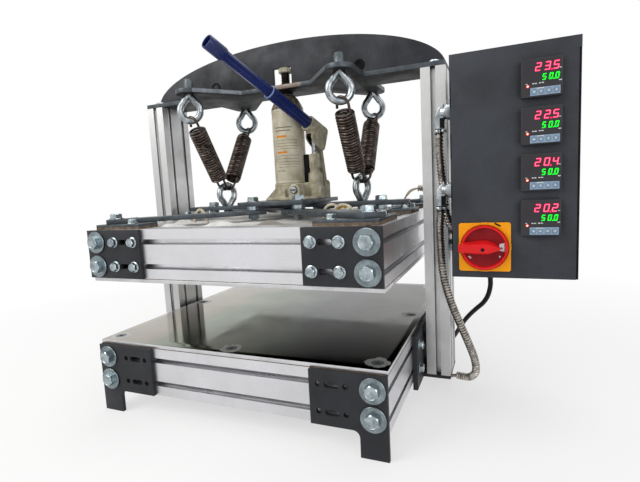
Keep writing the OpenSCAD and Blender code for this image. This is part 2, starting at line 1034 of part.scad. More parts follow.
// heights in the pump, counted from the jack's underside
foot_h = 4;
foot_corner_r = 12;
foot_left = 36;
foot_right = 70;
foot_front = 45;
shoulder_r = 37;
shoulder_h = 22;
tank_z = 32;
seat_r = 33.5;
pressure_r = 18;
bore_r = ram_r + run_gap;
tank_wall = 3;
fin_t = 9;
pump_boss_r = 14;
pump_boss_h = 50;
pump_hex_af = 20;
pump_hex_h = 36;
pump_stem_r = 8;
pump_stem_l = 18;
piston_r = 5.2;
piston_low = 56;
piston_eye_r = 6;
piston_eye_t = 10;
pump_pin_h = 111.5;
pump_pin_r = 3;
pivot_play = 1.7;
lever_pin_back = 14;
lever_pin_h = 100;
lever_pin_r = 4;
link_foot_back = 24;
link_foot_h = 28;
link_half_w = 4;
link_t = 9.6;
link_eye_r = 5.8;
cheek_in = 5.4;
cheek_t = 3.6;
cheek_r = 7.5;
ear_lug_r = 7;
mouth_ahead = 16;
mouth_h = 144;
sleeve_wall = 3;
sleeve_l = 46;
sleeve_depth = 40;
valve_x = 32;
valve_h = 18.5;
valve_front = 48;
valve_lug_r = 10.5;
valve_stem_r = 4;
valve_knob_r = 7;
valve_knob_l = 5;
valve_stem_l = 16;
valve_slot = 2.4;
spine_t = 14;
web_t = 8;

module foot_outline() {
    for (x = [-foot_left + foot_corner_r, foot_right - foot_corner_r]) {
        for (y = [-foot_front + foot_corner_r, foot_front - foot_corner_r]) {
            translate([x, y])
                circle(r = foot_corner_r);
        }
    }
    translate([-foot_left, -foot_front + foot_corner_r])
        square([foot_left + foot_right, 2 * (foot_front - foot_corner_r)]);
    translate([-foot_left + foot_corner_r, -foot_front])
        square([foot_left + foot_right - 2 * foot_corner_r, 2 * foot_front]);
}

module jack_base() {
    color("#b9ae92")
        translate([0, 0, jack_z])
            difference() {
                union() {
                    linear_extrude(foot_h)
                        foot_outline();
                    translate([ram_x, 0, 0]) {
                        cylinder(r = shoulder_r, h = shoulder_h);
                        cylinder(r = seat_r, h = tank_z);
                        cylinder(r = pressure_r, h = tank_z + tank_h - seat_gap);
                        for (turn = [90, 180, 270]) {
                            rotate([0, 0, turn])
                                translate([0, fin_t / 2, foot_h - overrun])
                                    rotate([90, 0, 0])
                                        linear_extrude(fin_t)
                                            polygon([[0, 0], [foot_left, 0],
                                                [tank_r, shoulder_h], [0, shoulder_h]]);
                        }
                    }
                    translate([pump_x, 0, 0])
                        cylinder(r = pump_boss_r, h = pump_boss_h);
                    translate([0, -spine_t / 2, 0])
                        cube([pump_x, spine_t, tank_z]);
                    translate([ram_x + tank_r + seat_gap, -web_t / 2, tank_z - overrun])
                        cube([pump_x - pump_hex_af * 0.6 - ram_x - tank_r - seat_gap, web_t,
                            pump_boss_h + pump_hex_h - tank_z]);
                    translate([valve_x, 0, valve_h])
                        rotate([90, 0, 0])
                            cylinder(r = valve_lug_r, h = valve_front);
                    translate([valve_x - valve_lug_r, -valve_front + foot_h, 0])
                        cube([2 * valve_lug_r, valve_front, valve_h]);
                    in_lever_plane()
                        for (side = [-1, 1]) {
                            translate([-link_foot_back, side * (cheek_in + cheek_t / 2), link_foot_h])
                                across_lever(ear_lug_r, cheek_t);
                            translate([-link_foot_back - ear_lug_r,
                                side * (cheek_in + cheek_t / 2) - cheek_t / 2, 0])
                                cube([2 * ear_lug_r, cheek_t, link_foot_h]);
                        }
                }
                translate([ram_x, 0, tank_z])
                    cylinder(r = bore_r, h = tank_h + overrun);
                translate([pump_x, 0, pump_boss_h - pump_stem_l])
                    cylinder(r = pump_stem_r + bolt_gap, h = pump_stem_l + overrun);
                translate([valve_x, -valve_front - overrun, valve_h])
                    rotate([-90, 0, 0])
                        cylinder(r = valve_stem_r + run_gap, h = valve_stem_l + overrun + run_gap);
                in_lever_plane() {
                    translate([-link_foot_back, 0, link_foot_h])
                        across_lever(lever_pin_r + run_gap, 2 * (cheek_in + cheek_t + overrun));
                    translate([-link_foot_back - ear_lug_r - overrun, -cheek_in, foot_h])
                        cube([2 * ear_lug_r, 2 * cheek_in, 2 * link_foot_h]);
                }
            }
}

module jack_tank() {
    color("#cfc6ae")
        translate([ram_x, 0, jack_z + tank_z])
            difference() {
                cylinder(r = tank_r, h = tank_h);
                translate([0, 0, -overrun])
                    cylinder(r = tank_r - tank_wall, h = tank_h + 2 * overrun);
            }
}

cap_radii_shares = [0.95, 0.84, 0.74, 0.56];
cap_heights_shares = [0.2, 0.48, 0.69, 1];
cap_h = jack_h - tank_z - tank_h;

module jack_cap_nut() {
    color("#bdb293")
        translate([ram_x, 0, jack_z + tank_z + tank_h])
            rotate_extrude()
                polygon(concat(
                    [[bore_r, 0], [tank_r, 0]],
                    [for (i = [0 : len(cap_radii_shares) - 1])
                        [cap_radii_shares[i] * tank_r, cap_heights_shares[i] * cap_h]],
                    [[bore_r, cap_h]]));
}

module release_valve() {
    color("#8d8877")
        translate([valve_x, -valve_front, jack_z + valve_h])
            rotate([90, 0, 0])
                difference() {
                    union() {
                        translate([0, 0, butt_gap])
                            cylinder(r = valve_knob_r, h = valve_knob_l);
                        translate([0, 0, -valve_stem_l])
                            cylinder(r = valve_stem_r, h = valve_stem_l + overrun);
                    }
                    translate([-valve_knob_r, -valve_slot / 2, valve_knob_l - valve_slot])
                        cube([2 * valve_knob_r, valve_slot, 2 * valve_slot]);
                }
}

module pump_body() {
    color("#a59a7f")
        in_lever_plane()
            translate([0, 0, jack_z + pump_boss_h])
                difference() {
                    union() {
                        rotate([0, 0, 30])
                            cylinder(d = pump_hex_af / cos(30), h = pump_hex_h, $fn = 6);
                        translate([0, 0, -pump_stem_l])
                            cylinder(r = pump_stem_r, h = pump_stem_l + overrun);
                    }
                    translate([0, 0, piston_low - pump_boss_h - pump_stem_l])
                        cylinder(r = piston_r + run_gap, h = pump_hex_h + pump_stem_l);
                }
}

module pump_piston() {
    color("#8f9396")
        in_lever_plane()
            translate([0, 0, jack_z]) {
                translate([0, 0, piston_low])
                    cylinder(r = piston_r, h = pump_pin_h - piston_low);
                intersection() {
                    translate([0, 0, pump_pin_h])
                        across_lever(piston_eye_r, piston_eye_t);
                    translate([0, 0, pump_pin_h - piston_eye_r])
                        cylinder(r = piston_eye_r, h = 2 * piston_eye_r);
                }
                translate([0, 0, pump_pin_h])
                    across_lever(pump_pin_r, 2 * (cheek_in + cheek_t));
            }
}

link_run = lever_pin_back - link_foot_back;
link_rise = lever_pin_h - link_foot_h;
link_lean = atan2(link_run, link_rise);
link_l = sqrt(link_run * link_run + link_rise * link_rise);

module pump_link() {
    color("#6f6a5c")
        in_lever_plane()
            translate([-link_foot_back, 0, jack_z + link_foot_h])
                rotate([0, -link_lean, 0]) {
                    translate([-link_half_w, -link_t / 2, 0])
                        cube([2 * link_half_w, link_t, link_l]);
                    across_lever(link_eye_r, link_t);
                    across_lever(lever_pin_r, 2 * (cheek_in + cheek_t));
                    translate([0, 0, link_l]) {
                        across_lever(link_eye_r, link_t);
                        across_lever(lever_pin_r, 2 * (cheek_in + cheek_t));
                    }
                }
}

// the handle's own line: z runs from the mouth of the socket towards the tip
module along_handle() {
    translate([mouth_ahead, 0, jack_z + mouth_h])
        rotate([0, 90 - handle_slope, 0])
            children();
}

module pump_socket() {
    color("#c3b89b")
        in_lever_plane()
            difference() {
                union() {
                    along_handle()
                        translate([0, 0, -sleeve_l])
                            cylinder(r = handle_r + sleeve_wall, h = sleeve_l);
                    for (side = [-1, 1]) {
                        translate([0, side * (cheek_in + cheek_t / 2) + cheek_t / 2, jack_z])
                            rotate([90, 0, 0])
                                linear_extrude(cheek_t)
                                    cheek_outline();
                    }
                }
                along_handle()
                    translate([0, 0, -sleeve_depth])
                        cylinder(r = handle_r + bolt_gap, h = sleeve_depth + overrun);
                translate([-lever_pin_back, 0, jack_z + lever_pin_h])
                    across_lever(lever_pin_r + run_gap, 2 * (cheek_in + cheek_t + overrun));
                translate([0, 0, jack_z + pump_pin_h])
                    across_lever(pump_pin_r + pivot_play, 2 * (cheek_in + cheek_t + overrun));
            }
}

// a cheek spans the two pins and reaches up to the sleeve
module cheek_outline() {
    back = [-lever_pin_back, lever_pin_h];
    front = [0, pump_pin_h];
    translate(back)
        circle(r = cheek_r);
    translate(front)
        circle(r = cheek_r);
    polygon([
        [back[0], back[1] - cheek_r], [front[0] + cheek_r, front[1]],
        [mouth_ahead - handle_r, mouth_h - handle_r - cheek_r],
        [back[0] - cheek_r, mouth_h - handle_r - sleeve_l / 2], [back[0] - cheek_r, back[1]]
    ]);
}

handle_wall = 2;
upper_r = 9.5;
upper_wall = 1.5;
upper_depth = 38;
flare_r = 11.5;
flare_l = 35;
flare_wall = 1.6;

module handle() {
    color("#1f3a7a")
        in_lever_plane()
            along_handle() {
                difference() {
                    translate([0, 0, -sleeve_depth + seat_gap])
                        cylinder(r = handle_r, h = sleeve_depth + handle_lower_l - seat_gap);
                    translate([0, 0, -sleeve_depth])
                        cylinder(r = handle_r - handle_wall, h = sleeve_depth + handle_lower_l + overrun);
                }
                difference() {
                    union() {
                        translate([0, 0, handle_lower_l - upper_depth])
                            cylinder(r = upper_r, h = handle_l - handle_lower_l + upper_depth);
                        translate([0, 0, handle_l - flare_l])
                            cylinder(r = flare_r, h = flare_l);
                    }
                    translate([0, 0, handle_lower_l - upper_depth - overrun])
                        cylinder(r = upper_r - upper_wall, h = handle_l);
                    translate([0, 0, handle_l - flare_l + flare_wall])
                        cylinder(r = flare_r - flare_wall, h = flare_l);
                }
            }
}

// ram and extension screw, placed down from the notch that the saddle bears on
saddle_top = beam_top + notch_h - seat_gap;
saddle_h = 10;
saddle_r = 13;
saddle_dome = 2;
screw_r = 8.5;
screw_shown = 22;
screw_l = 70;
screw_room = 26;
ram_top = saddle_top - saddle_h - screw_shown;
ram_low = jack_z + tank_z + overrun;

module jack_ram() {
    color("#4a4643")
        translate([ram_x, 0, ram_low])
            difference() {
                cylinder(r = ram_r, h = ram_top - ram_low);
                translate([0, 0, ram_top - ram_low - screw_l + screw_shown - screw_room])
                    cylinder(r = screw_r + run_gap, h = screw_l + screw_room);
            }
}

module extension_screw() {
    color("#a99c7c")
        translate([ram_x, 0, saddle_top - saddle_h]) {
            rotate_extrude()
                polygon([[0, 0], [saddle_r, 0], [saddle_r, saddle_h - saddle_dome],
                    [saddle_r - saddle_dome, saddle_h], [0, saddle_h]]);
            translate([0, 0, -screw_l])
                cylinder(r = screw_r, h = screw_l + overrun);
        }
}

// control box: an open tray, closed by the front panel
sheet_t = 2;
panel_t = 2;
controller_left = 90.6;
controller_top = 23;
controller_body = 44.5;
controller_proud = 8;
controller_depth = 70;
cutout_gap = 0.3;
window_w = 43;
window_h = 28;
window_top = 3;
window_t = 1;
keypad_w = 34.6;
keypad_h = 9.9;
keypad_low = 1.6;
keypad_side = 2.6;
keypad_t = 2.4;
keypad_proud = 1;
switch_left = 10.4;
switch_low = 10;
switch_t = 3;
switch_hole_r = 12;
dish_r = 31;
dish_h = 8;
dish_floor = 2.5;
dish_wall = 3.5;
grip_w = 15;
grip_h = 20;
grip_l = 32;
knob_shaft_r = 5;
knob_shaft_l = 28;
switch_body_w = 46;
switch_body_d = 48;
box_cx = box_x + switch_left + switch_w / 2;
switch_cz = box_z + switch_low + switch_w / 2;
tray_front = -box_front + panel_t;

body_inset = (controller_w - controller_body) / 2;
window_x = (controller_w - window_w) / 2;
window_z = controller_w - window_top - window_h;
keypad_x = controller_w - keypad_w - keypad_side;

function controller_z(i) = box_z + box_h - controller_top - controller_w - i * controller_pitch;

module controller_cutouts(depth) {
    for (i = [0 : 3]) {
        inset = body_inset - cutout_gap;
        translate([box_x + controller_left + inset, -box_front - overrun, controller_z(i) + inset])
            cube([controller_w - 2 * inset, depth, controller_w - 2 * inset]);
    }
}

module switch_bore(depth) {
    translate([box_cx, -box_front - overrun, switch_cz])
        rotate([-90, 0, 0])
            cylinder(r = switch_hole_r, h = depth);
}

spacer_r = 8;
spacer_zs_shares = [0.09, 0.85];
spacer_y = profile_w / 2;
elbow_y = -80;
elbow_reach = 23;
elbow_rises = [244.1, 125.4];
elbow_r = 7.5;
elbow_drop = 26;
elbow_ring_r = 8.5;
elbow_ring_t = 2.6;
elbow_nut_t = 4;
elbow_hole_r = 6;
gland_x = 374;
gland_y = -20;
gland_r = 9;
gland_h = 12;
gland_hole_r = 6.5;
relief_l = 26;

module tray_holes() {
    for (share = spacer_zs_shares) {
        for (y = [-spacer_y, spacer_y]) {
            translate([box_x, y, box_z + share * box_h])
                rotate([0, 90, 0])
                    through(small_r + bolt_gap, sheet_t);
        }
    }
    for (rise = elbow_rises) {
        translate([box_x, elbow_y, box_z + rise])
            rotate([0, 90, 0])
                through(elbow_hole_r, sheet_t);
    }
    translate([gland_x, gland_y, box_z])
        through(gland_hole_r, sheet_t);
}

module control_tray() {
    color("#3d3f43")
        difference() {
            translate([box_x, tray_front, box_z])
                cube([box_w, box_d, box_h]);
            translate([box_x + sheet_t, tray_front - overrun, box_z + sheet_t])
                cube([box_w - 2 * sheet_t, box_d - sheet_t + overrun, box_h - 2 * sheet_t]);
            tray_holes();
        }
}

module control_panel() {
    color("#43454a")
        difference() {
            translate([box_x, -box_front, box_z])
                cube([box_w, panel_t, box_h]);
            controller_cutouts(panel_t + 2 * overrun);
            switch_bore(panel_t + 2 * overrun);
        }
}

module box_spacers() {
    color("#9b9ea1")
        for (share = spacer_zs_shares) {
            for (y = [-spacer_y, spacer_y]) {
                translate([post_out, y, box_z + share * box_h])
                    rotate([0, 90, 0]) {
                        difference() {
                            cylinder(r = spacer_r, h = box_gap);
                            through(small_r + bolt_gap, box_gap);
                        }
                        translate([0, 0, box_gap + sheet_t])
                            small_bolt(box_gap + sheet_t + small_shank);
                        slot_nut();
                    }
            }
        }
}

module controllers() {
    color("#1b1c1f")
        for (i = [0 : 3]) {
            translate([box_x + controller_left, -box_front, controller_z(i)])
                difference() {
                    union() {
                        translate([0, -controller_proud, 0])
                            cube([controller_w, controller_proud, controller_w]);
                        translate([body_inset, -overrun, body_inset])
                            cube([controller_body, controller_depth + overrun, controller_body]);
                    }
                    translate([window_x, -controller_proud - overrun, window_z])
                        cube([window_w, window_t + overrun, window_h]);
                    translate([keypad_x - cutout_gap, -controller_proud - overrun, keypad_low - cutout_gap])
                        cube([keypad_w + 2 * cutout_gap, keypad_t + overrun, keypad_h + 2 * cutout_gap]);
                }
        }
}

module controller_windows() {
    color("#0b0b0d")
        for (i = [0 : 3]) {
            translate([box_x + controller_left + window_x, -box_front - controller_proud,
                controller_z(i) + window_z])
                cube([window_w, window_t, window_h]);
        }
}

module keypad(i) {
    color("#8fa3b5")
        translate([box_x + controller_left + keypad_x, -box_front - controller_proud - keypad_proud,
            controller_z(i) + keypad_low])
            cube([keypad_w, keypad_t, keypad_h]);
}

module keypad_1() {
    keypad(0);
}

module keypad_2() {
    keypad(1);
}

module keypad_3() {
    keypad(2);
}

module keypad_4() {
    keypad(3);
}

module switch_plate() {
    color("#f2a100")
        difference() {
            translate([box_cx - switch_w / 2, -box_front - switch_t, switch_cz - switch_w / 2])
                cube([switch_w, switch_t, switch_w]);
            translate([0, -switch_t, 0])
                switch_bore(switch_t + 2 * overrun);
        }
}

module switch_body() {
    color("#2a2b2e")
        difference() {
            translate([box_cx - switch_body_w / 2, tray_front, switch_cz - switch_body_w / 2])
                cube([switch_body_w, switch_body_d, switch_body_w]);
            translate([box_cx, tray_front - overrun, switch_cz])
                rotate([-90, 0, 0])
                    cylinder(r = knob_shaft_r + run_gap, h = knob_shaft_l);
        }
}

module switch_knob() {
    color("#d3151c")
        translate([box_cx, -box_front - switch_t - seat_gap, switch_cz])
            rotate([90, 0, 0]) {
                difference() {
                    cylinder(r = dish_r, h = dish_h);
                    translate([0, 0, dish_floor])
                        cylinder(r = dish_r - dish_wall, h = dish_h);
                }
                linear_extrude(grip_h)
                    polygon([
                        [-grip_l, -grip_w / 2], [dish_r / 3, -grip_w / 2], [dish_r - dish_wall + overrun, 0],
                        [dish_r / 3, grip_w / 2], [-grip_l, grip_w / 2]
                    ]);
                translate([0, 0, -knob_shaft_l + switch_t + panel_t])
                    cylinder(r = knob_shaft_r, h = knob_shaft_l - switch_t - panel_t + overrun);
            }
}

// inside the box: a rail across its back wall with four relays
rail_h = 35;
rail_t = 8;
rail_low_share = 0.42;
relay_w = 28;
relay_h = 74;
relay_d = 56;
relay_pitch = 33;

module relays() {
    back = tray_front + box_d - sheet_t;
    middle = box_x + box_w / 2;
    color("#6d7075") {
        translate([box_x + sheet_t + overrun, back - rail_t, box_z + rail_low_share * box_h - rail_h / 2])
            cube([box_w - 2 * sheet_t - 2 * overrun, rail_t, rail_h]);
        for (i = [0 : 3]) {
            translate([middle + (i - 3 / 2) * relay_pitch - relay_w / 2, back - rail_t - butt_gap - relay_d,
                box_z + rail_low_share * box_h - relay_h / 2])
                cube([relay_w, relay_d, relay_h]);
        }
    }
}

// elbows on the box's left wall: a stub through the wall, a bend and a clamp ring
module conduit_elbow(z) {
    axis_x = box_x - elbow_reach;
    translate([axis_x, elbow_y, z]) {
        difference() {
            union() {
                sphere(r = elbow_r);
                rotate([0, 90, 0])
                    cylinder(r = elbow_r, h = elbow_reach);
                translate([0, 0, -elbow_drop])
                    cylinder(r = elbow_r, h = elbow_drop);
                translate([0, 0, -elbow_drop])
                    cylinder(r = elbow_ring_r, h = elbow_ring_t);
                translate([elbow_reach - elbow_nut_t, 0, 0])
                    rotate([0, 90, 0])
                        cylinder(r = elbow_ring_r, h = elbow_nut_t);
            }
            translate([0, 0, -elbow_drop - overrun])
                cylinder(r = conduit_r - rib_depth - hose_wall, h = elbow_drop);
        }
    }
}

module conduit_elbows() {
    color("#b3b7bb")
        for (rise = elbow_rises) {
            conduit_elbow(box_z + rise);
        }
}

elbow_x = box_x - elbow_reach;
upper_start = [elbow_x, elbow_y, box_z + elbow_rises[0] - elbow_drop - seat_gap];
lower_start = [elbow_x, elbow_y, box_z + elbow_rises[1] - elbow_drop - seat_gap];

// routes of the conduits, chosen by hand for elbows on this axis, and moved as the elbows move
route_x = 302.6;
upper_route = [[302, -78, 420], [303, -72, 390], [305, -62, 355], [307, -58, 325], [312, -52, 302],
    [317, -34, 286], [317, 0, 279], [317, 30, 281], [311, 56, 290], [294, 72, 314], [272, 80, 342],
    [252, 80, 356], [240, 80, 358]];
lower_route = [[301, -80, 292], [302, -80, 258], [304, -79, 226], [309, -76, 196], [318, -71, 164],
    [329, -64, 132], [340, -55, 100], [349, -44, 68], [350, -34, 42], [340, -24, 27], [328, -16, 23],
    [318, -12, 22]];
upper_ribs = 26;
lower_ribs = 54;
straight_end = 2 * conduit_r;
lead_r = 1.5;
lead_steps = 12;
slant = [1 / 5, 1, 1 / 3];

upper_leads = [[[240, 78, 358], [226, 76, 352], [214, 74, 338], [208, 72, 326], [206, 71, 318]],
    [[240, 82, 358], [224, 84, 354], [212, 90, 340], [206, 94, 326], [204, 95, 318]]];
lower_leads = [[[318, -10, 22], [300, -4, 18], [276, 2, 17], [244, 4, 17], [214, 4, 28], [196, 4, 60],
        [190, 4, 100]],
    [[318, -14, 22], [300, -12, 17], [276, -10, 17], [244, -10, 17], [212, -10, 28], [194, -10, 60],
        [188, -10, 100]]];

module conduit(start, route, ribs, leads) {
    shift = [elbow_x - route_x, 0, 0];
    color("#a4a5a3") {
        ribbed_hose(concat([start, start - [0, 0, straight_end]], [for (p = route) p + shift]), [1, 0, 0],
            conduit_r, ribs);
        for (points = leads) {
            tube(curve([for (p = points) p + shift], lead_steps), slant, lead_r, hose_sides);
        }
    }
}

module upper_conduit() {
    conduit(upper_start, upper_route, upper_ribs, upper_leads);
}

module lower_conduit() {
    conduit(lower_start, lower_route, lower_ribs, lower_leads);
}

// pale heater leads that come out of the wool and loop back into it
loop_places = [[-150, -96], [146, -98], [118, -78]];
loop_spans = [34, 44, 36];
loop_rise = 26;
loop_r = 2.4;
loop_steps = 12;

module heater_leads() {
    color("#cdbb84")
        for (i = [0 : len(loop_places) - 1]) {
            span = loop_spans[i];
            tube([for (s = [0 : loop_steps]) let (a = 180 * s / loop_steps)
                [loop_places[i][0] - span / 2 * cos(a), loop_places[i][1],
                    moving_top - wool_drop + seat_gap + loop_rise * sin(a)]],
                [0, 1, 0], loop_r, hose_sides);
        }
}

// mains cord: gland, free stretch, coil and plug
module mains_gland() {
    color("#1c1d1f")
        translate([gland_x, gland_y, box_z])
            difference() {
                union() {
                    translate([0, 0, -gland_h])
                        cylinder(r = gland_r, h = gland_h);
                    cylinder(r = gland_hole_r - bolt_gap, h = 2 * sheet_t);
                    translate([0, 0, -relief_l])
                        cylinder(r1 = cord_r + overrun, r2 = gland_r - overrun, h = relief_l - gland_h);
                }
                translate([0, 0, -relief_l - overrun])
                    cylinder(r = cord_r + bolt_gap, h = relief_l + 2 * sheet_t + 2 * overrun);
            }
}

cord_route = [[374, -20, 203], [374, -20, 190], [370, -14, 172], [362, -4, 156], [350, 10, 141],
    [337, 26, 124], [324, 45, 103], [312, 68, 79], [300, 94, 55], [288, 124, 33], [276, 160, 16],
    [268, 200, 6], [266, 235, 4], [266, 270, 4], [266, 300, 4], [266, 332, 4]];
cord_rings = 40;

module mains_cord() {
    color("#17181a")
        tube(curve(cord_route, cord_rings), [1, 0, 0], cord_r, 8);
}

coil_x = 210;
coil_y = 340;
coil_out = 56;
coil_turns = 5;
coil_step = 8.6;
coil_rings = 16;
coil_lead = 8;
coil_tail = 45;
climb_turns = 1 / 2;

function coil_point(turn) = let (
        inward = min(turn, coil_turns - turn),
        climb = min(1, max(0, (turn - (coil_turns - climb_turns) / 2) / climb_turns)),
        radius = coil_out - coil_step * inward)
    [coil_x + radius * cos(360 * turn), coil_y + radius * sin(360 * turn), cord_r + coil_step * climb];
coil_path = concat(
    [[coil_x + coil_out, coil_y - coil_lead, cord_r]],
    [for (i = [0 : coil_turns * coil_rings]) coil_point(i / coil_rings)],
    [for (s = [1 : 3]) [coil_x + coil_out, coil_y + coil_tail * s / 3, cord_r + coil_step]]);

module mains_cord_coil() {
    color("#17181a")
        tube(coil_path, [0, 0, 1], cord_r, 5);
    echo(coil_least_gap = least_gap(coil_path, cord_r, 6));
}

plug_r = cord_r + coil_step - butt_gap;
plug_l = 34;
plug_neck_l = 14;
plug_relief_r = 6.5;
pin_r = 2.4;
pin_l = 19;
pin_pitch = 14;

module mains_plug() {
    color("#17181a")
        translate([coil_x + coil_out, coil_y + coil_tail, cord_r + coil_step])
            rotate([-90, 0, 0]) {
                cylinder(r1 = plug_relief_r, r2 = plug_r - overrun, h = plug_neck_l);
                translate([0, 0, plug_neck_l])
                    cylinder(r = plug_r, h = plug_l);
                for (side = [-1, 1]) {
                    translate([side * pin_pitch / 2, 0, plug_neck_l + plug_l])
                        cylinder(r = pin_r, h = pin_l);
                }
            }
}

// the origin lies under the middle of everything but the cord
module placed() {
    translate([-frame_mid, 0, 0])
        children();
}

placed() base_beams();
placed() base_corner_plates();
placed() frame_bolts();
placed() lower_platen();
placed() lower_gasket();
placed() lower_platen_screws();
placed() lower_heaters();
placed() posts();
placed() post_brackets();
placed() beam_plate();
placed() arch_plate();
placed() upper_eyebolts();
placed() control_tray();
placed() control_panel();
placed() box_spacers();
placed() controllers();
placed() controller_windows();
placed() keypad_1();
placed() keypad_2();
placed() keypad_3();
placed() keypad_4();
placed() switch_plate();
placed() switch_body();
placed() switch_knob();
placed() relays();
placed() conduit_elbows();
placed() lower_conduit();
placed() mains_gland();
placed() mains_cord();
placed() mains_cord_coil();
placed() mains_plug();
placed() platen_beams();
placed() platen_corner_plates();
placed() platen_bolts();
placed() upper_platen();
placed() platen_gaskets();
placed() upper_heaters();
placed() insulation();
placed() heater_leads();
placed() pad_plates();
placed() spider_arms();
placed() cross_bar();
placed() centre_plate();
placed() lower_eyebolts();
placed() spring_front_left();
placed() spring_front_right();
placed() spring_back_left();
placed() spring_back_right();
placed() upper_conduit();
placed() jack_base();
placed() jack_tank();
placed() jack_cap_nut();
placed() release_valve();
placed() pump_body();
placed() pump_piston();
placed() pump_link();
placed() pump_socket();
placed() handle();
placed() jack_ram();
placed() extension_screw();
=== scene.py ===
# %% [markdown]
# # A heated sheet press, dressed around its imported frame
# The press is two heated aluminium plates in frames of slotted profile. A bottle jack pushes
# the upper plate down from a beam, four springs lift it again, and a control box hangs on the
# right-hand post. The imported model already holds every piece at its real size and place, so
# this notebook only adds finishes, cords, and the detail that solids of plain shape leave out.

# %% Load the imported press
import math

import bmesh
import bpy
from mathutils import Matrix, Vector, noise
from mathutils.geometry import tessellate_polygon


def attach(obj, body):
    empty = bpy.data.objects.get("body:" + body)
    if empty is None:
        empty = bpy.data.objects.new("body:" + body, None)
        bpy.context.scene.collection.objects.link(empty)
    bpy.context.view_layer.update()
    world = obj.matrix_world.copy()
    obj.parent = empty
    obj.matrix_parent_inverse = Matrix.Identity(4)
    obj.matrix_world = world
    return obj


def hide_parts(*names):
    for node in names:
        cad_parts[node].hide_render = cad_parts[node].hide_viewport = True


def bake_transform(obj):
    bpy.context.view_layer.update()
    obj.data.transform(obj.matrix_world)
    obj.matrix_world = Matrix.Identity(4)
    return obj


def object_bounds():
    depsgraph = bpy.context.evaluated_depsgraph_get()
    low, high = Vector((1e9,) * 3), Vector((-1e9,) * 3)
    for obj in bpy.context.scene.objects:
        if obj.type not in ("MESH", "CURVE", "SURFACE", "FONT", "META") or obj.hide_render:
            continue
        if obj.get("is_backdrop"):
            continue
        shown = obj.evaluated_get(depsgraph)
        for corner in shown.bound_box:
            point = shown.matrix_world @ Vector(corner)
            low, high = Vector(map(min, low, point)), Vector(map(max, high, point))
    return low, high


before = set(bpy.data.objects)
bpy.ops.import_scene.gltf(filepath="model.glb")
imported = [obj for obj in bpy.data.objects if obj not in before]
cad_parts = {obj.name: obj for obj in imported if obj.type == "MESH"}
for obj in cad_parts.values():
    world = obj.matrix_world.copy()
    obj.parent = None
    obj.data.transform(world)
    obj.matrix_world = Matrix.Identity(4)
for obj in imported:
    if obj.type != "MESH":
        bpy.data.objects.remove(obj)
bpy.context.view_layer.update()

# %% [markdown]
# The press is drawn in millimetres from the jack's axis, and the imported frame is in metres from
# the middle of the whole outline. One helper goes from the drawing to the frame, so that every
# size below reads as it would on a workshop drawing.

# %% From the drawing to the frame
MM = 0.001
PRESS_X = 88.55


def at(x, y, z):
    """A point of the drawing, in the frame's metres."""
    return Vector(((x - PRESS_X) * MM, y * MM, z * MM))


# %% [markdown]
# The camera stands where the photographer stood, a little right of the press and turned to the
# left. Its place, its turn and its focal length were solved from the edges of the base, the
# posts and the control box, so the render can be laid over the photograph.

# %% Camera
EYE = at(395.81, -799.99, 365.68)
YAW, PITCH, ROLL = (math.radians(angle) for angle in (22.83, -6.70, -2.96))
SENSOR = 36.0
FOCAL_SHARE = 441.38 / 640

look = Vector((-math.sin(YAW) * math.cos(PITCH), math.cos(YAW) * math.cos(PITCH), math.sin(PITCH)))
level = Vector((math.cos(YAW), math.sin(YAW), 0))
upright = level.cross(look)
right = math.cos(ROLL) * level + math.sin(ROLL) * upright
above = -math.sin(ROLL) * level + math.cos(ROLL) * upright

lens = bpy.data.cameras.new("camera")
lens.sensor_width = SENSOR
lens.lens = SENSOR * FOCAL_SHARE
lens.clip_start = 0.01
camera = bpy.data.objects.new("camera", lens)
bpy.context.scene.collection.objects.link(camera)
camera.matrix_world = Matrix.Translation(EYE) @ Matrix((right, above, -look)).transposed().to_4x4()
bpy.context.scene.camera = camera
print("lens", round(lens.lens, 2), "mm")

# %% [markdown]
# Materials are node trees. One function turns the hex colours of a paint card to the linear
# values that the shader wants, and one small function adds a node with its settings and links.
# The nodes that every tree here needs have short names of their own, so that a tree reads as a
# list of sums.

# %% Node helpers
FACTOR, TONE_A, TONE_B, TONE_OUT = 0, 6, 7, 2


def linear(code):
    """A hex colour from sRGB to the shader's linear values."""
    parts = [int(code[i : i + 2], 16) / 255 for i in (1, 3, 5)]
    return [p / 12.92 if p <= 0.04045 else ((p + 0.055) / 1.055) ** 2.4 for p in parts] + [1.0]


def add(tree, kind, inputs=None, **settings):
    """Add a node. Settings are its own properties, inputs are values or other nodes' sockets."""
    node = tree.nodes.new(kind)
    for name, value in settings.items():
        setattr(node, name, value)
    for name, value in (inputs or {}).items():
        if isinstance(value, bpy.types.NodeSocket):
            tree.links.new(value, node.inputs[name])
        else:
            node.inputs[name].default_value = value
    return node


def own_place(tree):
    """The object's own coordinates."""
    return add(tree, "ShaderNodeTexCoord").outputs["Object"]


def mottle(tree, place, scale, detail=2.0, rough=0.5):
    """Soft noise at a place."""
    values = {"Vector": place, "Scale": scale, "Detail": detail, "Roughness": rough}
    return add(tree, "ShaderNodeTexNoise", values).outputs["Fac"]


def span(tree, value, low=0.0, high=1.0, to_low=0.0, to_high=1.0):
    """A value's range mapped to another one, and held at its ends."""
    values = {"Value": value, "From Min": low, "From Max": high, "To Min": to_low, "To Max": to_high}
    return add(tree, "ShaderNodeMapRange", values).outputs["Result"]


def reckon(tree, operation, a, b=None, clamp=False):
    """The result of a sum with one term or two."""
    terms = {0: a} if b is None else {0: a, 1: b}
    return add(tree, "ShaderNodeMath", terms, operation=operation, use_clamp=clamp).outputs["Value"]


def distance(tree, place, point):
    """How far a place is from a point, in metres."""
    return add(tree, "ShaderNodeVectorMath", {0: place, 1: point}, operation="DISTANCE").outputs["Value"]


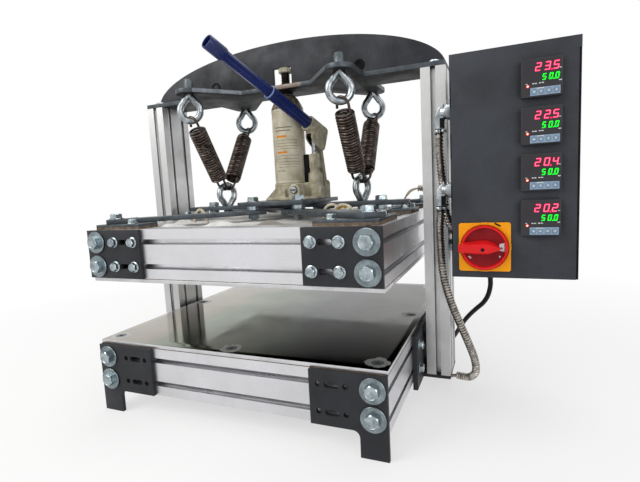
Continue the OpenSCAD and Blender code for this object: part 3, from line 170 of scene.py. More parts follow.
def mix(tree, factor, first, second):
    """The first colour where the factor is 0, and the second where it is 1."""
    colours = {FACTOR: factor, TONE_A: first, TONE_B: second}
    return add(tree, "ShaderNodeMix", colours, data_type="RGBA").outputs[TONE_OUT]


# %% [markdown]
# Most of this press is metal with a thin finish on it: anodised, zinc plated, painted or left
# as it was rolled. What the eye reads is the same everywhere: two close tones in soft patches,
# a gloss that changes from place to place, and a fine grain. So one function builds that tree,
# with the size of the patches and the grain in millimetres, and each finish names its own.

# %% The common finish


def finish(
    name, tone, second, rough, metal=0.0, patch=40, grain=0.8, bump=0.15,
    spread=0.1, lie=(1, 1, 1), coat=0.0, shine=0.2,
):
    """Two tones in patches, uneven gloss, and a grain that lies along a direction."""
    made = bpy.data.materials.new(name)
    made.use_nodes = True
    tree = made.node_tree
    shader = tree.nodes["Principled BSDF"]
    place = own_place(tree)
    lying = add(tree, "ShaderNodeMapping", {"Vector": place, "Scale": lie}).outputs["Vector"]
    patches = span(tree, mottle(tree, place, 1000 / patch, 5.0, 0.62), 0.35, 0.68)
    fine = mottle(tree, lying, 1000 / grain)
    both = reckon(tree, "ADD", patches, span(tree, fine, 0.25, 0.75, -0.22, 0.22), clamp=True)
    gloss = span(tree, both, to_low=max(0.02, rough - spread), to_high=min(1.0, rough + spread))
    relief = add(tree, "ShaderNodeBump", {"Height": fine, "Strength": bump, "Distance": 0.3 * grain * MM})
    tree.links.new(mix(tree, both, linear(tone), linear(second)), shader.inputs["Base Color"])
    tree.links.new(gloss, shader.inputs["Roughness"])
    tree.links.new(relief.outputs["Normal"], shader.inputs["Normal"])
    shader.inputs["Metallic"].default_value = metal
    shader.inputs["Coat Weight"].default_value = coat
    shader.inputs["Specular IOR Level"].default_value = shine
    return made


def stained(material, point, inner, outer, share, tone):
    """Another tone round a point, full up to an inner distance and gone at an outer one."""
    tree = material.node_tree
    colour = tree.nodes["Principled BSDF"].inputs["Base Color"]
    stain = span(tree, distance(tree, own_place(tree), point), inner, outer, share, 0.0)
    tree.links.new(mix(tree, stain, colour.links[0].from_socket, linear(tone)), colour)


# %% [markdown]
# The metals. The profile is extruded and anodised, which leaves a satin skin with faint lines
# along the bar. Zinc plating on the bolts is brighter and a little blue. The plates and bars of
# the lifting frame are hot rolled flat steel with their grey mill skin, and the heated plates
# are polished sheet that clouds and scratches in use.

# %% Metal finishes
ALONG_BARS = (1, 1, 60)
ALONG_POSTS = (60, 60, 1)
anodised = finish(
    "anodised_profile", "#DADADE", "#CBCBCD", 0.36, 1.0, patch=90, grain=30, bump=0.05, lie=ALONG_BARS
)
anodised_post = finish(
    "anodised_post", "#C6C6C6", "#AEAEAD", 0.38, 1.0, patch=120, grain=30, bump=0.05, lie=ALONG_POSTS
)
washer_zinc = finish("zinc_plated_washer", "#8F9A9E", "#667176", 0.26, 1.0, patch=14, grain=1.0, bump=0.06)
zinc = finish("zinc_plated_steel", "#B6C0C4", "#7A868B", 0.24, 1.0, patch=9, grain=1.2, bump=0.12, spread=0.1)
eye_zinc = finish(
    "zinc_plated_eyebolt", "#BCC2C5", "#6C7377", 0.3, 1.0, patch=16, grain=1.4, bump=0.2, spread=0.12
)
mill_steel = finish(
    "hot_rolled_bar", "#6E767A", "#4B5052", 0.46, 0.85, patch=34, grain=1.6, bump=0.25, spread=0.12
)
black_steel = finish("blackened_plate", "#3D3E42", "#2A2B2E", 0.5, 0.4, patch=70, grain=1.2, bump=0.15)
cut_edge = finish("sawn_steel_edge", "#565C61", "#3F4448", 0.45, 0.5, patch=18, grain=1.2, bump=0.2)
brushed_edge = finish("brushed_steel_edge", "#7A8084", "#62676B", 0.42, 0.6, patch=20, grain=1.2, bump=0.2)
# The beam plate's underside is painted a darker grey as shade.
underside_shade_steel = finish("painted_underside_shade", "#27282A", "#1B1C1E", 0.6, 0.2, patch=40, grain=1.2, bump=0.1)
milled_edge = finish("milled_sheet_edge", "#D2D2D4", "#BDBDBF", 0.36, 1.0, patch=30, grain=1.2, bump=0.05)
polished = finish(
    "polished_sheet", "#6C6D6C", "#474949", 0.1, 1.0, patch=70, grain=1.5, bump=0.02, spread=0.05
)
spring_steel = finish("oiled_spring_wire", "#6A5E57", "#2C2623", 0.36, 0.9, patch=14, grain=0.7, bump=0.3)
conduit_steel = finish("galvanised_strip", "#C2BBB4", "#6C6660", 0.32, 1.0, patch=7, grain=1.0, bump=0.2)
ram_steel = finish("greasy_ram", "#3A3430", "#171412", 0.3, 0.8, patch=12, grain=1.0, bump=0.2)
bright_pin = finish("bright_pin_steel", "#B4B7B8", "#6E7071", 0.25, 1.0, patch=8, grain=0.8)

# %% [markdown]
# The polished sheet has two kinds of marks of its own. Heat has tinted it from straw through
# green to grey across its width. Each countersunk screw sits in a pale patch where the skin has
# been ground flat. The patches lie mirrored about both middles, so one patch is worked out from
# the absolute distances, and a little noise makes its edge uneven.

# %% Tints and ground patches of the polished sheet
PRESS_MIDDLE = at(0, 0, 0)
SCREW_PATCHES = ((235, 236), (0, 240), (235, 0))
SHEET_TOP = 125
sheet = polished.node_tree
sheet_shader = sheet.nodes["Principled BSDF"]
sheet_place = own_place(sheet)
from_middle = add(sheet, "ShaderNodeVectorMath", {0: sheet_place, 1: PRESS_MIDDLE}, operation="SUBTRACT")
from_middle = from_middle.outputs["Vector"]
across = add(sheet, "ShaderNodeSeparateXYZ", {"Vector": from_middle}).outputs["X"]
drift = span(sheet, mottle(sheet, sheet_place, 9.0, 3.0), to_low=-0.09, to_high=0.09)
tints = add(
    sheet, "ShaderNodeValToRGB", {"Fac": span(sheet, reckon(sheet, "ADD", across, drift), -0.25, 0.25)}
)
bands = tints.color_ramp.elements
bands[0].position, bands[0].color = 0.0, linear("#B4AEA2")
bands[1].position, bands[1].color = 1.0, linear("#4A4744")
for spot, code in (
    (0.16, "#A49D8E"), (0.3, "#7C8871"), (0.45, "#5E6459"), (0.6, "#3C3D42"), (0.8, "#35332F")
):
    bands.new(spot).color = linear(code)
sheet_plain = sheet_shader.inputs["Base Color"].links[0].from_socket
tinted = mix(sheet, 0.75, sheet_plain, tints.outputs["Color"])
folded = add(sheet, "ShaderNodeVectorMath", {0: from_middle}, operation="ABSOLUTE").outputs["Vector"]
nearest = None
for x, y in SCREW_PATCHES:
    away = distance(sheet, folded, at(x, y, SHEET_TOP) - PRESS_MIDDLE)
    nearest = reckon(sheet, "MINIMUM", nearest, away) if nearest else away
ragged = span(sheet, mottle(sheet, sheet_place, 90.0), to_low=-0.007, to_high=0.007)
ground = span(sheet, reckon(sheet, "ADD", nearest, ragged), 0.016, 0.0175, 0.85, 0.0)
sheet.links.new(mix(sheet, ground, tinted, linear("#C6C6C3")), sheet_shader.inputs["Base Color"])
sheet_gloss = sheet_shader.inputs["Roughness"].links[0].from_socket
dulled = reckon(sheet, "MINIMUM", reckon(sheet, "ADD", sheet_gloss, ground), 0.5)
sheet.links.new(dulled, sheet_shader.inputs["Roughness"])

# %% Bare stretch of the beam's front edge
stained(cut_edge, at(20, -40, 558), 0.031, 0.035, 0.8, "#7B6C62")

# %% [markdown]
# Paints and plastics. Powder coat is thick and matt with a fine orange peel. The jack has a
# thin beige enamel, grimy with oil. The pump handle is glossy blue enamel, and the switch is
# moulded in yellow and red. None of them is metallic, so their tone is their base colour.

# %% Painted and moulded finishes
corner_black = finish(
    "black_powder_coat", "#303135", "#27282B", 0.5, patch=50, grain=1.0, bump=0.3, spread=0.06
)
box_grey = finish(
    "charcoal_powder_coat", "#3C3F45", "#323337", 0.56, patch=60, grain=1.1, bump=0.4, spread=0.06
)
# The tank's enamel, also laid on the valve boss's face as a painted highlight.
jack_beige_and_boss_highlight = finish("beige_enamel_and_boss_highlight", "#CFC8B4", "#A89F86", 0.4, patch=26, grain=1.2, bump=0.15, coat=0.2)
cast_beige = finish("enamel_on_casting", "#C2BBA4", "#8F8871", 0.52, patch=12, grain=1.8, bump=0.8)
# Grime on the cap, also used for the dark ring in the valve boss's recess as painted shade.
cap_grime_and_boss_shade = finish("grimy_cap_and_boss_shade", "#8A806B", "#2E2822", 0.45, patch=9, grain=1.2, bump=0.3, coat=0.2)
blue_enamel = finish("blue_enamel", "#1B2A68", "#111C4A", 0.3, patch=30, grain=2.0, bump=0.06, coat=0.25)
pale_rim_blue = finish("pale_blue_rim", "#8FA4CC", "#4A62A0", 0.4, patch=6, grain=1.0)
yellow_abs = finish("yellow_switch_plastic", "#F6A40A", "#EE9604", 0.42, patch=30, grain=0.6, bump=0.05)
red_abs = finish("red_switch_plastic", "#E21D20", "#CF1317", 0.33, patch=20, grain=0.6, bump=0.04, coat=0.1)
# A darker red for the dish's floor, painted shade of the recess.
red_dish_shade = finish("red_dish_painted_shade", "#8C0C18", "#780712", 0.42, patch=20, grain=0.6, bump=0.04)
black_abs = finish("black_bezel_plastic", "#39383B", "#333235", 0.45, patch=20, grain=0.6, bump=0.08)
smoke = finish("smoked_window", "#38363A", "#323034", 0.3, patch=30, grain=0.8, bump=0.01, spread=0.03)
key_blue = finish("grey_blue_keypad", "#8CA0B4", "#7C90A6", 0.5, patch=8, grain=0.5, bump=0.1)
key_dark = finish("keycap_edge", "#5F7388", "#53677C", 0.45, patch=6, grain=0.5)
white_ink = finish("white_ink", "#D9DCDD", "#C6CACB", 0.6, patch=5, grain=0.5)
orange_ink = finish("orange_ink", "#E08A14", "#C97A10", 0.5, patch=4, grain=0.5)
dash_ink = finish("dark_rule", "#6F6A5C", "#57534A", 0.6, patch=5, grain=0.5)
# Black for painted shade in slots, slits, hollows, bores and openings, and for other black marks and parts.
black_shade_and_marks = finish("black_painted_shade_and_marks", "#0B0B0C", "#070708", 0.8, patch=10, grain=1.0)
sheath = finish("black_cord_sheath", "#1B1B1D", "#131315", 0.46, patch=20, grain=0.9, bump=0.2)
gasket_brown = finish("mica_gasket", "#7F6E5E", "#4F4339", 0.8, patch=10, grain=1.5, bump=0.5, lie=ALONG_BARS)
heater_mica = finish("mica_heater", "#A89268", "#8D7750", 0.6, patch=20, grain=1.5, bump=0.3)
relay_grey = finish("relay_housing", "#5C5F63", "#4C4F53", 0.5, patch=20, grain=0.8)
braid = finish("glass_braid", "#E6DFCB", "#BBAD90", 0.85, patch=5, grain=0.6, bump=0.6)
yellow_sleeve = finish("yellow_sleeve", "#D9B012", "#B8900A", 0.5, patch=5, grain=0.6)
print(len(bpy.data.materials), "finishes")

# %% [markdown]
# The wool over the heaters is mineral fibre in a thin white cloth. It scatters light like
# snow, and it is scorched brown at the front, near the middle. Its creases come with its shape,
# further down.

# %% Mineral wool
wool = finish("mineral_wool", "#EDECE9", "#D3D0CA", 0.95, patch=18, grain=1.4, bump=0.9, spread=0.03)
wool.node_tree.nodes["Principled BSDF"].inputs["Sheen Weight"].default_value = 0.3
stained(wool, at(62, -190, 314), 0.02, 0.085, 0.9, "#7C7266")


# %% [markdown]
# Lit digits give off light of their own. A real display glows more in the middle of a segment
# than at its edge, so each red segment has a dark halo, a red bar and a pale core.

# %% Lit segments


def glowing(name, code, strength):
    """A plain emitting surface over a dark body."""
    made = finish(name, code, code, 0.4, patch=5, grain=0.5)
    shader = made.node_tree.nodes["Principled BSDF"]
    shader.inputs["Emission Color"].default_value = linear(code)
    shader.inputs["Emission Strength"].default_value = strength
    return made


lit_red = glowing("lit_red_segment", "#FF0F4C", 1.0)
lit_core = glowing("lit_pink_segment", "#FF7CA2", 1.0)
lit_halo = glowing("lit_red_halo", "#5C0A20", 1.0)
lit_green = glowing("lit_green_segment", "#00F024", 1.0)
lit_lamp = glowing("lit_red_lamp", "#E8202C", 1.0)
lit_spark = glowing("lit_lamp_middle", "#FFE2B8", 1.0)


# %% [markdown]
# Every new piece is a mesh that is already in its place, so its object stays at the origin.
# This helper makes one from points and faces, smooths faces that meet at a blunt angle, gives
# it a finish, and lets it ride on a body.

# %% From points and faces to a piece
SMOOTH_BELOW = math.radians(32)


def piece(name, points, faces, paint, body, slot, smooth=SMOOTH_BELOW):
    """A finished piece; paint is one material, or a list with an index for each face."""
    mesh = bpy.data.meshes.new(name)
    mesh.from_pydata([tuple(p) for p in points], [], faces)
    return settle(name, mesh, paint, body, smooth)


def settle(name, mesh, paint, body, smooth=SMOOTH_BELOW):
    """Turn faces outwards, smooth blunt edges, and give the mesh its finish and body."""
    work = bmesh.new()
    work.from_mesh(mesh)
    bmesh.ops.recalc_face_normals(work, faces=work.faces)
    work.to_mesh(mesh)
    work.free()
    mesh.polygons.foreach_set("use_smooth", [True] * len(mesh.polygons))
    mesh.set_sharp_from_angle(angle=smooth)
    for material in paint if isinstance(paint, list) else [paint]:
        mesh.materials.append(material)
    made = bpy.data.objects.new(name, mesh)
    bpy.context.scene.collection.objects.link(made)
    if body:
        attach(made, body)
    return made


def join(parts):
    """Points and faces of several parts as one, with each part's material index."""
    points, faces, paints = [], [], []
    for part_points, part_faces, paint in parts:
        faces += [[i + len(points) for i in face] for face in part_faces]
        paints += [paint] * len(part_faces)
        points += list(part_points)
    return points, faces, paints


def painted(index, *forms):
    """Parts for joined(), from forms that share one material index."""
    return [(*form, index) for form in forms]


def joined(name, parts, paint, body, slot, smooth=SMOOTH_BELOW):
    """One piece from (points, faces, material index) parts."""
    points, faces, paints = join(parts)
    made = piece(name, points, faces, paint, body, slot, smooth)
    made.data.polygons.foreach_set("material_index", paints)
    return made


# %% [markdown]
# Cords come first, because their solids would have to move if they spread too far. The mains
# lead is about two metres of 8 mm rubber cable, as such a machine has. The photograph shows only
# the first stretch under the box, so the rest lies in a neat coil behind the base, with the
# plug beside it. Its centre line is a smooth curve through the same points as the solid's.

# %% A smooth curve through points


def curve_at(points, where):
    """A point on the smooth curve through the points; whole numbers are the points."""
    last = len(points) - 1
    i = min(int(where), last - 1)
    t = where - i
    a, b = points[i], points[i + 1]
    way_a = (b - points[max(i - 1, 0)]) / (1 if i == 0 else 2)
    way_b = (points[min(i + 2, last)] - a) / (1 if i + 2 > last else 2)
    return (
        (2 * t**3 - 3 * t**2 + 1) * a
        + (t**3 - 2 * t**2 + t) * way_a
        + (3 * t**2 - 2 * t**3) * b
        + (t**3 - t**2) * way_b
    )


def curve(points, steps):
    """The smooth curve, in equal steps between the points."""
    return [curve_at(points, s * (len(points) - 1) / steps) for s in range(steps + 1)]


def length_of(line):
    """The length of a line of points."""
    return sum((b - a).length for a, b in zip(line, line[1:]))


def drawn(points):
    """Points of the drawing as vectors in the frame."""
    return [at(*p) for p in points]


# %% [markdown]
# A round section swept along a line is what springs, leads and cables are. Geometry Nodes do
# it with Curve to Mesh, which turns the section as little as it can on the way. The tree is
# built once, with the radius, the number of sides and the finish as named inputs. A modifier's
# inputs are set by their identifiers, and the result is turned into a plain mesh at once.

# %% The sweeping tree


def new_tree(name, inputs):
    """An empty geometry tree with named inputs: (name, socket type, default)."""
    tree = bpy.data.node_groups.new(name, "GeometryNodeTree")
    tree.interface.new_socket("Geometry", in_out="INPUT", socket_type="NodeSocketGeometry")
    tree.interface.new_socket("Geometry", in_out="OUTPUT", socket_type="NodeSocketGeometry")
    for label, kind, default in inputs:
        socket = tree.interface.new_socket(label, in_out="INPUT", socket_type=kind)
        if default is not None:
            socket.default_value = default
    return tree, add(tree, "NodeGroupInput"), add(tree, "NodeGroupOutput")


def grown(name, mesh, tree, values):
    """The plain mesh that a tree makes from a mesh, with its named inputs set."""
    holder = bpy.data.objects.new(name, mesh)
    bpy.context.scene.collection.objects.link(holder)
    modifier = holder.modifiers.new("tree", "NODES")
    modifier.node_group = tree
    for item in tree.interface.items_tree:
        if item.item_type == "SOCKET" and item.in_out == "INPUT" and item.name in values:
            modifier[item.identifier] = values[item.name]
    graph = bpy.context.evaluated_depsgraph_get()
    made = bpy.data.meshes.new_from_object(holder.evaluated_get(graph))
    bpy.data.objects.remove(holder)
    made.name = name
    return made


def round_tube(tree, line, given, scale=1.0):
    """A round section along a line, with the tree's own radius and sides."""
    size = {"Resolution": given.outputs["Sides"], "Radius": given.outputs["Radius"]}
    ring = add(tree, "GeometryNodeCurvePrimitiveCircle", size).outputs["Curve"]
    values = {"Curve": line, "Profile Curve": ring, "Scale": scale, "Fill Caps": True}
    return add(tree, "GeometryNodeCurveToMesh", values).outputs["Mesh"]


def deliver(tree, form, given, result):
    """Make a form real, put the tree's finish on it, and hand it out."""
    real = add(tree, "GeometryNodeRealizeInstances", {"Geometry": form}).outputs["Geometry"]
    coloured = add(tree, "GeometryNodeSetMaterial", {"Geometry": real, "Material": given.outputs["Finish"]})
    tree.links.new(coloured.outputs["Geometry"], result.inputs["Geometry"])


sweep, sweep_in, sweep_out = new_tree(
    "Round section along a line",
    [
        ("Radius", "NodeSocketFloat", 0.003), ("Sides", "NodeSocketInt", 12),
        ("Finish", "NodeSocketMaterial", None)
    ],
)
sweep_line = add(sweep, "GeometryNodeMeshToCurve", {"Mesh": sweep_in.outputs["Geometry"]}).outputs["Curve"]
deliver(sweep, round_tube(sweep, sweep_line, sweep_in), sweep_in, sweep_out)


def line_mesh(line):
    """A mesh of one open line."""
    mesh = bpy.data.meshes.new("line")
    mesh.from_pydata([tuple(p) for p in line], [(i, i + 1) for i in range(len(line) - 1)], [])
    return mesh


def swept(name, line, radius, sides, paint, body):
    """A round bar along a line of points."""
    mesh = grown(name, line_mesh(line), sweep, {"Radius": radius, "Sides": sides, "Finish": paint})
    mesh.materials.clear()
    return settle(name, mesh, paint, body)


# %% The mains lead
CORD_R = 4.0
LEAD_ROUTE = drawn([
    (374, -20, 203), (374, -20, 190), (370, -14, 172), (362, -4, 156), (350, 10, 141), (337, 26, 124),
    (324, 45, 103), (312, 68, 79), (300, 94, 55), (288, 124, 33), (276, 160, 16), (268, 200, 6),
    (266, 235, 4), (266, 270, 4), (266, 300, 4), (266, 332, 4),
])
COIL_X, COIL_Y, COIL_OUT, COIL_TURNS, COIL_STEP, COIL_TAIL = 210, 340, 56, 5, 8.6, 45
COIL_RINGS, CLIMB_TURNS, LEAD_STEPS = 40, 0.5, 60


def coil_point(turn):
    """A point of the coil: inwards on the floor, then outwards on top of the first turns."""
    inward = min(turn, COIL_TURNS - turn)
    climb = min(1, max(0, (turn - (COIL_TURNS - CLIMB_TURNS) / 2) / CLIMB_TURNS))
    reach = COIL_OUT - COIL_STEP * inward
    angle = 2 * math.pi * turn
    return at(COIL_X + reach * math.cos(angle), COIL_Y + reach * math.sin(angle), CORD_R + COIL_STEP * climb)


lead_line = curve(LEAD_ROUTE, LEAD_STEPS)
lead_line += [coil_point(i / COIL_RINGS) for i in range(COIL_TURNS * COIL_RINGS + 1)]
lead_line += [at(COIL_X + COIL_OUT, COIL_Y + COIL_TAIL * s / 6, CORD_R + COIL_STEP) for s in range(1, 7)]
mains_lead = swept("mains_lead", lead_line, CORD_R * MM, 14, sheath, "frame")
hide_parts("mains_cord", "mains_cord_coil")
print("mains lead", round(length_of(lead_line), 3), "m")

# %% [markdown]
# Turned parts, such as plugs, knobs and jack tanks, are a profile that goes round an axis. Bent
# tubes are rings along a line. Both are rings of points joined by quads, so two short functions
# make every one of them, and a third rounds the edges of whatever has flat faces.

# %% Rings, plates and rounded edges


def rings_to_faces(count, sides):
    """Quads between rings of points, with both ends closed."""
    faces = [
        [r * sides + k, r * sides + (k + 1) % sides, (r + 1) * sides + (k + 1) % sides, (r + 1) * sides + k]
        for r in range(count - 1)
        for k in range(sides)
    ]
    return faces + [list(range(sides))[::-1], list(range((count - 1) * sides, count * sides))]


def turned(profile, foot, way, sides=32, flutes=0, depth=0.0):
    """A turned form: (distance along the way, radius) pairs in mm, with optional flutes."""
    way = Vector(way).normalized()
    side = way.cross(Vector((0, 0, 1)) if abs(way.z) < 0.9 else Vector((0, 1, 0))).normalized()
    other = way.cross(side)
    points = []
    for along, radius in profile:
        for k in range(sides):
            angle = 2 * math.pi * k / sides
            reach = (radius - depth * (0.5 + 0.5 * math.cos(flutes * angle)) ** 3 * (flutes > 0)) * MM
            points.append(
                foot + way * along * MM + side * reach * math.cos(angle) + other * reach * math.sin(angle)
            )
    return points, rings_to_faces(len(profile), sides)


def bent(line, radii, sides=16):
    """A tube along a line of points, with a radius in mm for each of them."""
    last = len(line) - 1
    ways = [(line[min(i + 1, last)] - line[max(i - 1, 0)]).normalized() for i in range(last + 1)]
    side = ways[0].orthogonal().normalized()
    points = []
    for point, way, radius in zip(line, ways, radii):
        side = (side - way * side.dot(way)).normalized()
        other = way.cross(side)
        for k in range(sides):
            angle = 2 * math.pi * k / sides
            points.append(point + (side * math.cos(angle) + other * math.sin(angle)) * radius * MM)
    return points, rings_to_faces(last + 1, sides)


def listed(work):
    """Points and faces of a bmesh, which is then freed."""
    work.verts.index_update()
    points = [v.co.copy() for v in work.verts]
    faces = [[v.index for v in f.verts] for f in work.faces]
    work.free()
    return points, faces


def loaded(points, faces):
    """A bmesh of points and faces, facing outwards."""
    work = bmesh.new()
    corners = [work.verts.new(p) for p in points]
    for face in faces:
        work.faces.new([corners[i] for i in face])
    bmesh.ops.recalc_face_normals(work, faces=work.faces)
    return work


def eased(points, faces, soft, segments=2, shortest=0.0, sharp=35):
    """The same form with its sharp edges rounded, apart from edges that are shorter than given."""
    work = loaded(points, faces)
    edges = [
        e
        for e in work.edges
        if len(e.link_faces) == 2
        and e.calc_face_angle(0) > math.radians(sharp)
        and e.calc_length() >= shortest * MM
    ]
    bmesh.ops.bevel(
        work, geom=edges, offset=soft * MM, segments=segments, profile=0.5, affect="EDGES", clamp_overlap=True
    )
    return listed(work)


def block(low, high, soft=0.5, segments=2):
    """A rectangular block between two corners of the drawing, with rounded edges."""
    xs, ys, zs = zip(low, high)
    points = [at(x, y, z) for x in xs for y in ys for z in zs]
    faces = [[0, 1, 3, 2], [4, 6, 7, 5], [0, 4, 5, 1], [2, 3, 7, 6], [0, 2, 6, 4], [1, 5, 7, 3]]
    return eased(points, faces, soft, segments)


def slab(outline, lift, low, high, holes=()):
    """A plate: flat outlines, the first with holes in it, placed by lift(u, v, w)."""
    loops = [outline, *holes]
    flat = [Vector((u, v, 0)) for loop in loops for u, v in loop]
    fills = tessellate_polygon([[Vector((u, v, 0)) for u, v in loop] for loop in loops])
    count = len(flat)
    points = [lift(p.x, p.y, w) for w in (low, high) for p in flat]
    faces = [list(tri)[::-1] for tri in fills] + [[i + count for i in tri] for tri in fills]
    start = 0
    for loop in loops:
        size = len(loop)
        faces += [
            [start + k, start + (k + 1) % size, start + (k + 1) % size + count, start + k + count]
            for k in range(size)
        ]
        start += size
    return points, faces


def on_panel(y):
    """Lift for a plate that lies flat on a face towards the front; w counts outwards."""
    return lambda u, v, w: at(u, y - w, v)


def circle(x, z, radius, sides=32, turn=0.0):
    """Points of a circle in the plane of an outline."""
    return [
        (
            x + radius * math.cos(turn + 2 * math.pi * k / sides),
            z + radius * math.sin(turn + 2 * math.pi * k / sides)
        )
        for k in range(sides)
    ]


def rounded_box(x0, z0, x1, z1, radius, steps=5):
    """Points of a rectangle with round corners."""
    points = []
    for x, z, first in (
        (x1 - radius, z1 - radius, 0), (x0 + radius, z1 - radius, 1), (x0 + radius, z0 + radius, 2),
        (x1 - radius, z0 + radius, 3)
    ):
        for s in range(steps + 1):
            angle = math.pi / 2 * (first + s / steps)
            points.append((x + radius * math.cos(angle), z + radius * math.sin(angle)))
    return points


# %% [markdown]
# The lead leaves the box through a cable gland with a ribbed, tapered boot, and ends in a round
# rubber plug with two pins, of the kind that workshop tools have. A strap of hook-and-loop tape
# goes once round all the turns of the coil.

# %% Gland, plug and tie of the mains lead
DOWN, UP, BACK, FRONT, RIGHT = (0, 0, -1), (0, 0, 1), (0, 1, 0), (0, -1, 0), (1, 0, 0)
BOX_LEFT, BOX_RIGHT, BOX_LOW, BOX_HIGH = 325.6, 486.1, 229.0, 540.0
GLAND = (374, -20)
BOOT_RIBS, BOOT_LONG, NUT_LONG = 7, 14, 12

boot = [
    (0, 8.6), (0.4, 9), (5, 9), (5.6, 8.4), (6.2, 9), (NUT_LONG - 0.6, 9), (NUT_LONG, 8.2), (NUT_LONG, 6.9)
]
for rib in range(BOOT_RIBS):
    start = NUT_LONG + BOOT_LONG * rib / BOOT_RIBS
    radius = 6.9 - 1.9 * rib / BOOT_RIBS
    boot += [
        (start + 0.2, radius), (start + 1.2, radius), (start + 1.4, radius - 0.9), (start + 1.9, radius - 0.9)
    ]
boot_points, boot_faces = turned(boot, at(*GLAND, BOX_LOW), DOWN, 36)
gland = piece("mains_gland_boot", boot_points, boot_faces, sheath, "frame", "cord_rubber")
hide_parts("mains_gland")

PLUG_FOOT = at(266, 385, CORD_R + COIL_STEP)
PIN_APART, PIN_LONG, PIN_R = 14, 19, 2.4
body = [(-6, 4.6), (0, 5.2), (0.2, 6.5)]
for rib in range(5):
    start, radius = 0.6 + 2.6 * rib, 6.5 + 4.9 * rib / 4
    body += [
        (start, radius), (start + 1.4, radius + 0.2), (start + 1.6, radius - 0.7), (start + 2.4, radius - 0.5)
    ]
body += [
    (14, 11.2), (15, 12.1), (18, 12.4), (24, 12.0), (30, 11.9), (38, 12.4), (46.5, 12.4), (47.6, 11.9),
    (48, 11.2)
]
plug_parts = [(*turned(body, PLUG_FOOT, BACK, 40), 0)]
for side in (-1, 1):
    pin = [
        (47, PIN_R), (48 + PIN_LONG - 1.6, PIN_R), (48 + PIN_LONG - 0.4, PIN_R - 0.7),
        (48 + PIN_LONG, PIN_R - 1.5)
    ]
    plug_parts.append((*turned(pin, PLUG_FOOT + Vector((side * PIN_APART / 2 * MM, 0, 0)), BACK, 16), 1))
plug = joined("mains_plug_body", plug_parts, [sheath, bright_pin], "frame", "cord_rubber")
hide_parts("mains_plug")

TIE_AT, TIE_WIDE, TIE_THICK = math.radians(205), 14, 0.9
tie_ring = rounded_box(
    COIL_OUT - 2.6 * COIL_STEP - CORD_R - 1, 0.1, COIL_OUT + CORD_R + 1, 2 * CORD_R + COIL_STEP + 1, 7
)


def tie_point(reach, z, shift):
    """A point of the tie: out from the coil's middle, up, and along the turns."""
    out = Vector((math.cos(TIE_AT), math.sin(TIE_AT), 0))
    along = Vector((-math.sin(TIE_AT), math.cos(TIE_AT), 0))
    return at(COIL_X, COIL_Y, z) + (out * reach + along * shift) * MM


count = len(tie_ring)
mid_u = sum(p[0] for p in tie_ring) / count
mid_v = sum(p[1] for p in tie_ring) / count
tie_points = []
for grow, shift in ((0, -0.5), (0, 0.5), (TIE_THICK, 0.5), (TIE_THICK, -0.5)):
    for u, v in tie_ring:
        reach, z = u + math.copysign(grow, u - mid_u), v + (grow if v > mid_v else 0)
        tie_points.append(tie_point(reach, z, shift * TIE_WIDE))
tie_faces = [
    [
        r * count + k, r * count + (k + 1) % count, (r + 1) % 4 * count + (k + 1) % count,
        (r + 1) % 4 * count + k
    ]
    for r in range(4)
    for k in range(count)
]
tie = piece("coil_tie", tie_points, tie_faces, black_abs, "frame", "cord_rubber")
print("gland, plug and tie made")

# %% [markdown]
# The two conduits are strip-wound steel hose: a steel strip wound into a tube that can bend, so
# its outside is a row of narrow ribs. This tree resamples the line to a few points for each rib
# and lets a wave of the length along it swell and shrink the section. One hose hangs in a loop
# to the moving frame, and the other runs down to the base and rides on the frame.

# %% Ribs along a path
ribs, ribs_in, ribs_out = new_tree(
    "Ribs along a path",
    [
        ("Radius", "NodeSocketFloat", 0.006),
        ("Pitch", "NodeSocketFloat", 0.004),
        ("Depth share", "NodeSocketFloat", 0.24),
        ("Points", "NodeSocketInt", 400),
        ("Sides", "NodeSocketInt", 18),
        ("Finish", "NodeSocketMaterial", None),
    ],
)
rib_line = add(ribs, "GeometryNodeMeshToCurve", {"Mesh": ribs_in.outputs["Geometry"]}).outputs["Curve"]
rib_even = add(ribs, "GeometryNodeResampleCurve", {"Curve": rib_line, "Count": ribs_in.outputs["Points"]})
rib_along = add(ribs, "GeometryNodeSplineParameter").outputs["Length"]
rib_turns = reckon(ribs, "DIVIDE", rib_along, ribs_in.outputs["Pitch"])
rib_wave = reckon(ribs, "COSINE", reckon(ribs, "MULTIPLY", rib_turns, 2 * math.pi))
rib_dip = reckon(ribs, "SUBTRACT", 1.0, ribs_in.outputs["Depth share"])
rib_scale = span(ribs, span(ribs, rib_wave, -0.7, -0.1), to_low=rib_dip)
deliver(ribs, round_tube(ribs, rib_even.outputs["Curve"], ribs_in, rib_scale), ribs_in, ribs_out)

# %% The two hoses and the leads that come out of them
HOSE_R, RIB_POINTS, HOSE_STRAIGHT, HOSE_STEPS = 6.5, 8, 12, 120
UPPER_START, LOWER_START = (302.6, -80, 446.8), (302.6, -80, 328.1)
UPPER_ROUTE = [
    (302, -78, 420), (303, -72, 390), (305, -62, 355), (307, -58, 325), (312, -52, 302), (317, -34, 286),
    (317, 0, 279), (317, 30, 281), (311, 56, 290), (294, 72, 314), (272, 80, 342), (252, 80, 356),
    (240, 80, 358),
]
LOWER_ROUTE = [
    (301, -80, 292), (302, -80, 258), (304, -79, 226), (309, -76, 196), (318, -71, 164), (329, -64, 132),
    (340, -55, 100), (349, -44, 68), (350, -34, 42), (340, -24, 27), (328, -16, 23), (318, -12, 22),
]
UPPER_LEADS = [
    [(240, 78, 358), (226, 76, 352), (214, 74, 338), (208, 72, 326), (206, 71, 318)],
    [(240, 82, 358), (224, 84, 354), (212, 90, 340), (206, 94, 326), (204, 95, 318)],
]
LOWER_LEADS = [
    [(318, -10, 22), (300, -4, 18), (276, 2, 17), (244, 4, 17), (214, 4, 28), (196, 4, 60), (190, 4, 100)],
    [
        (318, -14, 22), (300, -12, 17), (276, -10, 17), (244, -10, 17), (212, -10, 28), (194, -10, 60),
        (188, -10, 100)
    ],
]


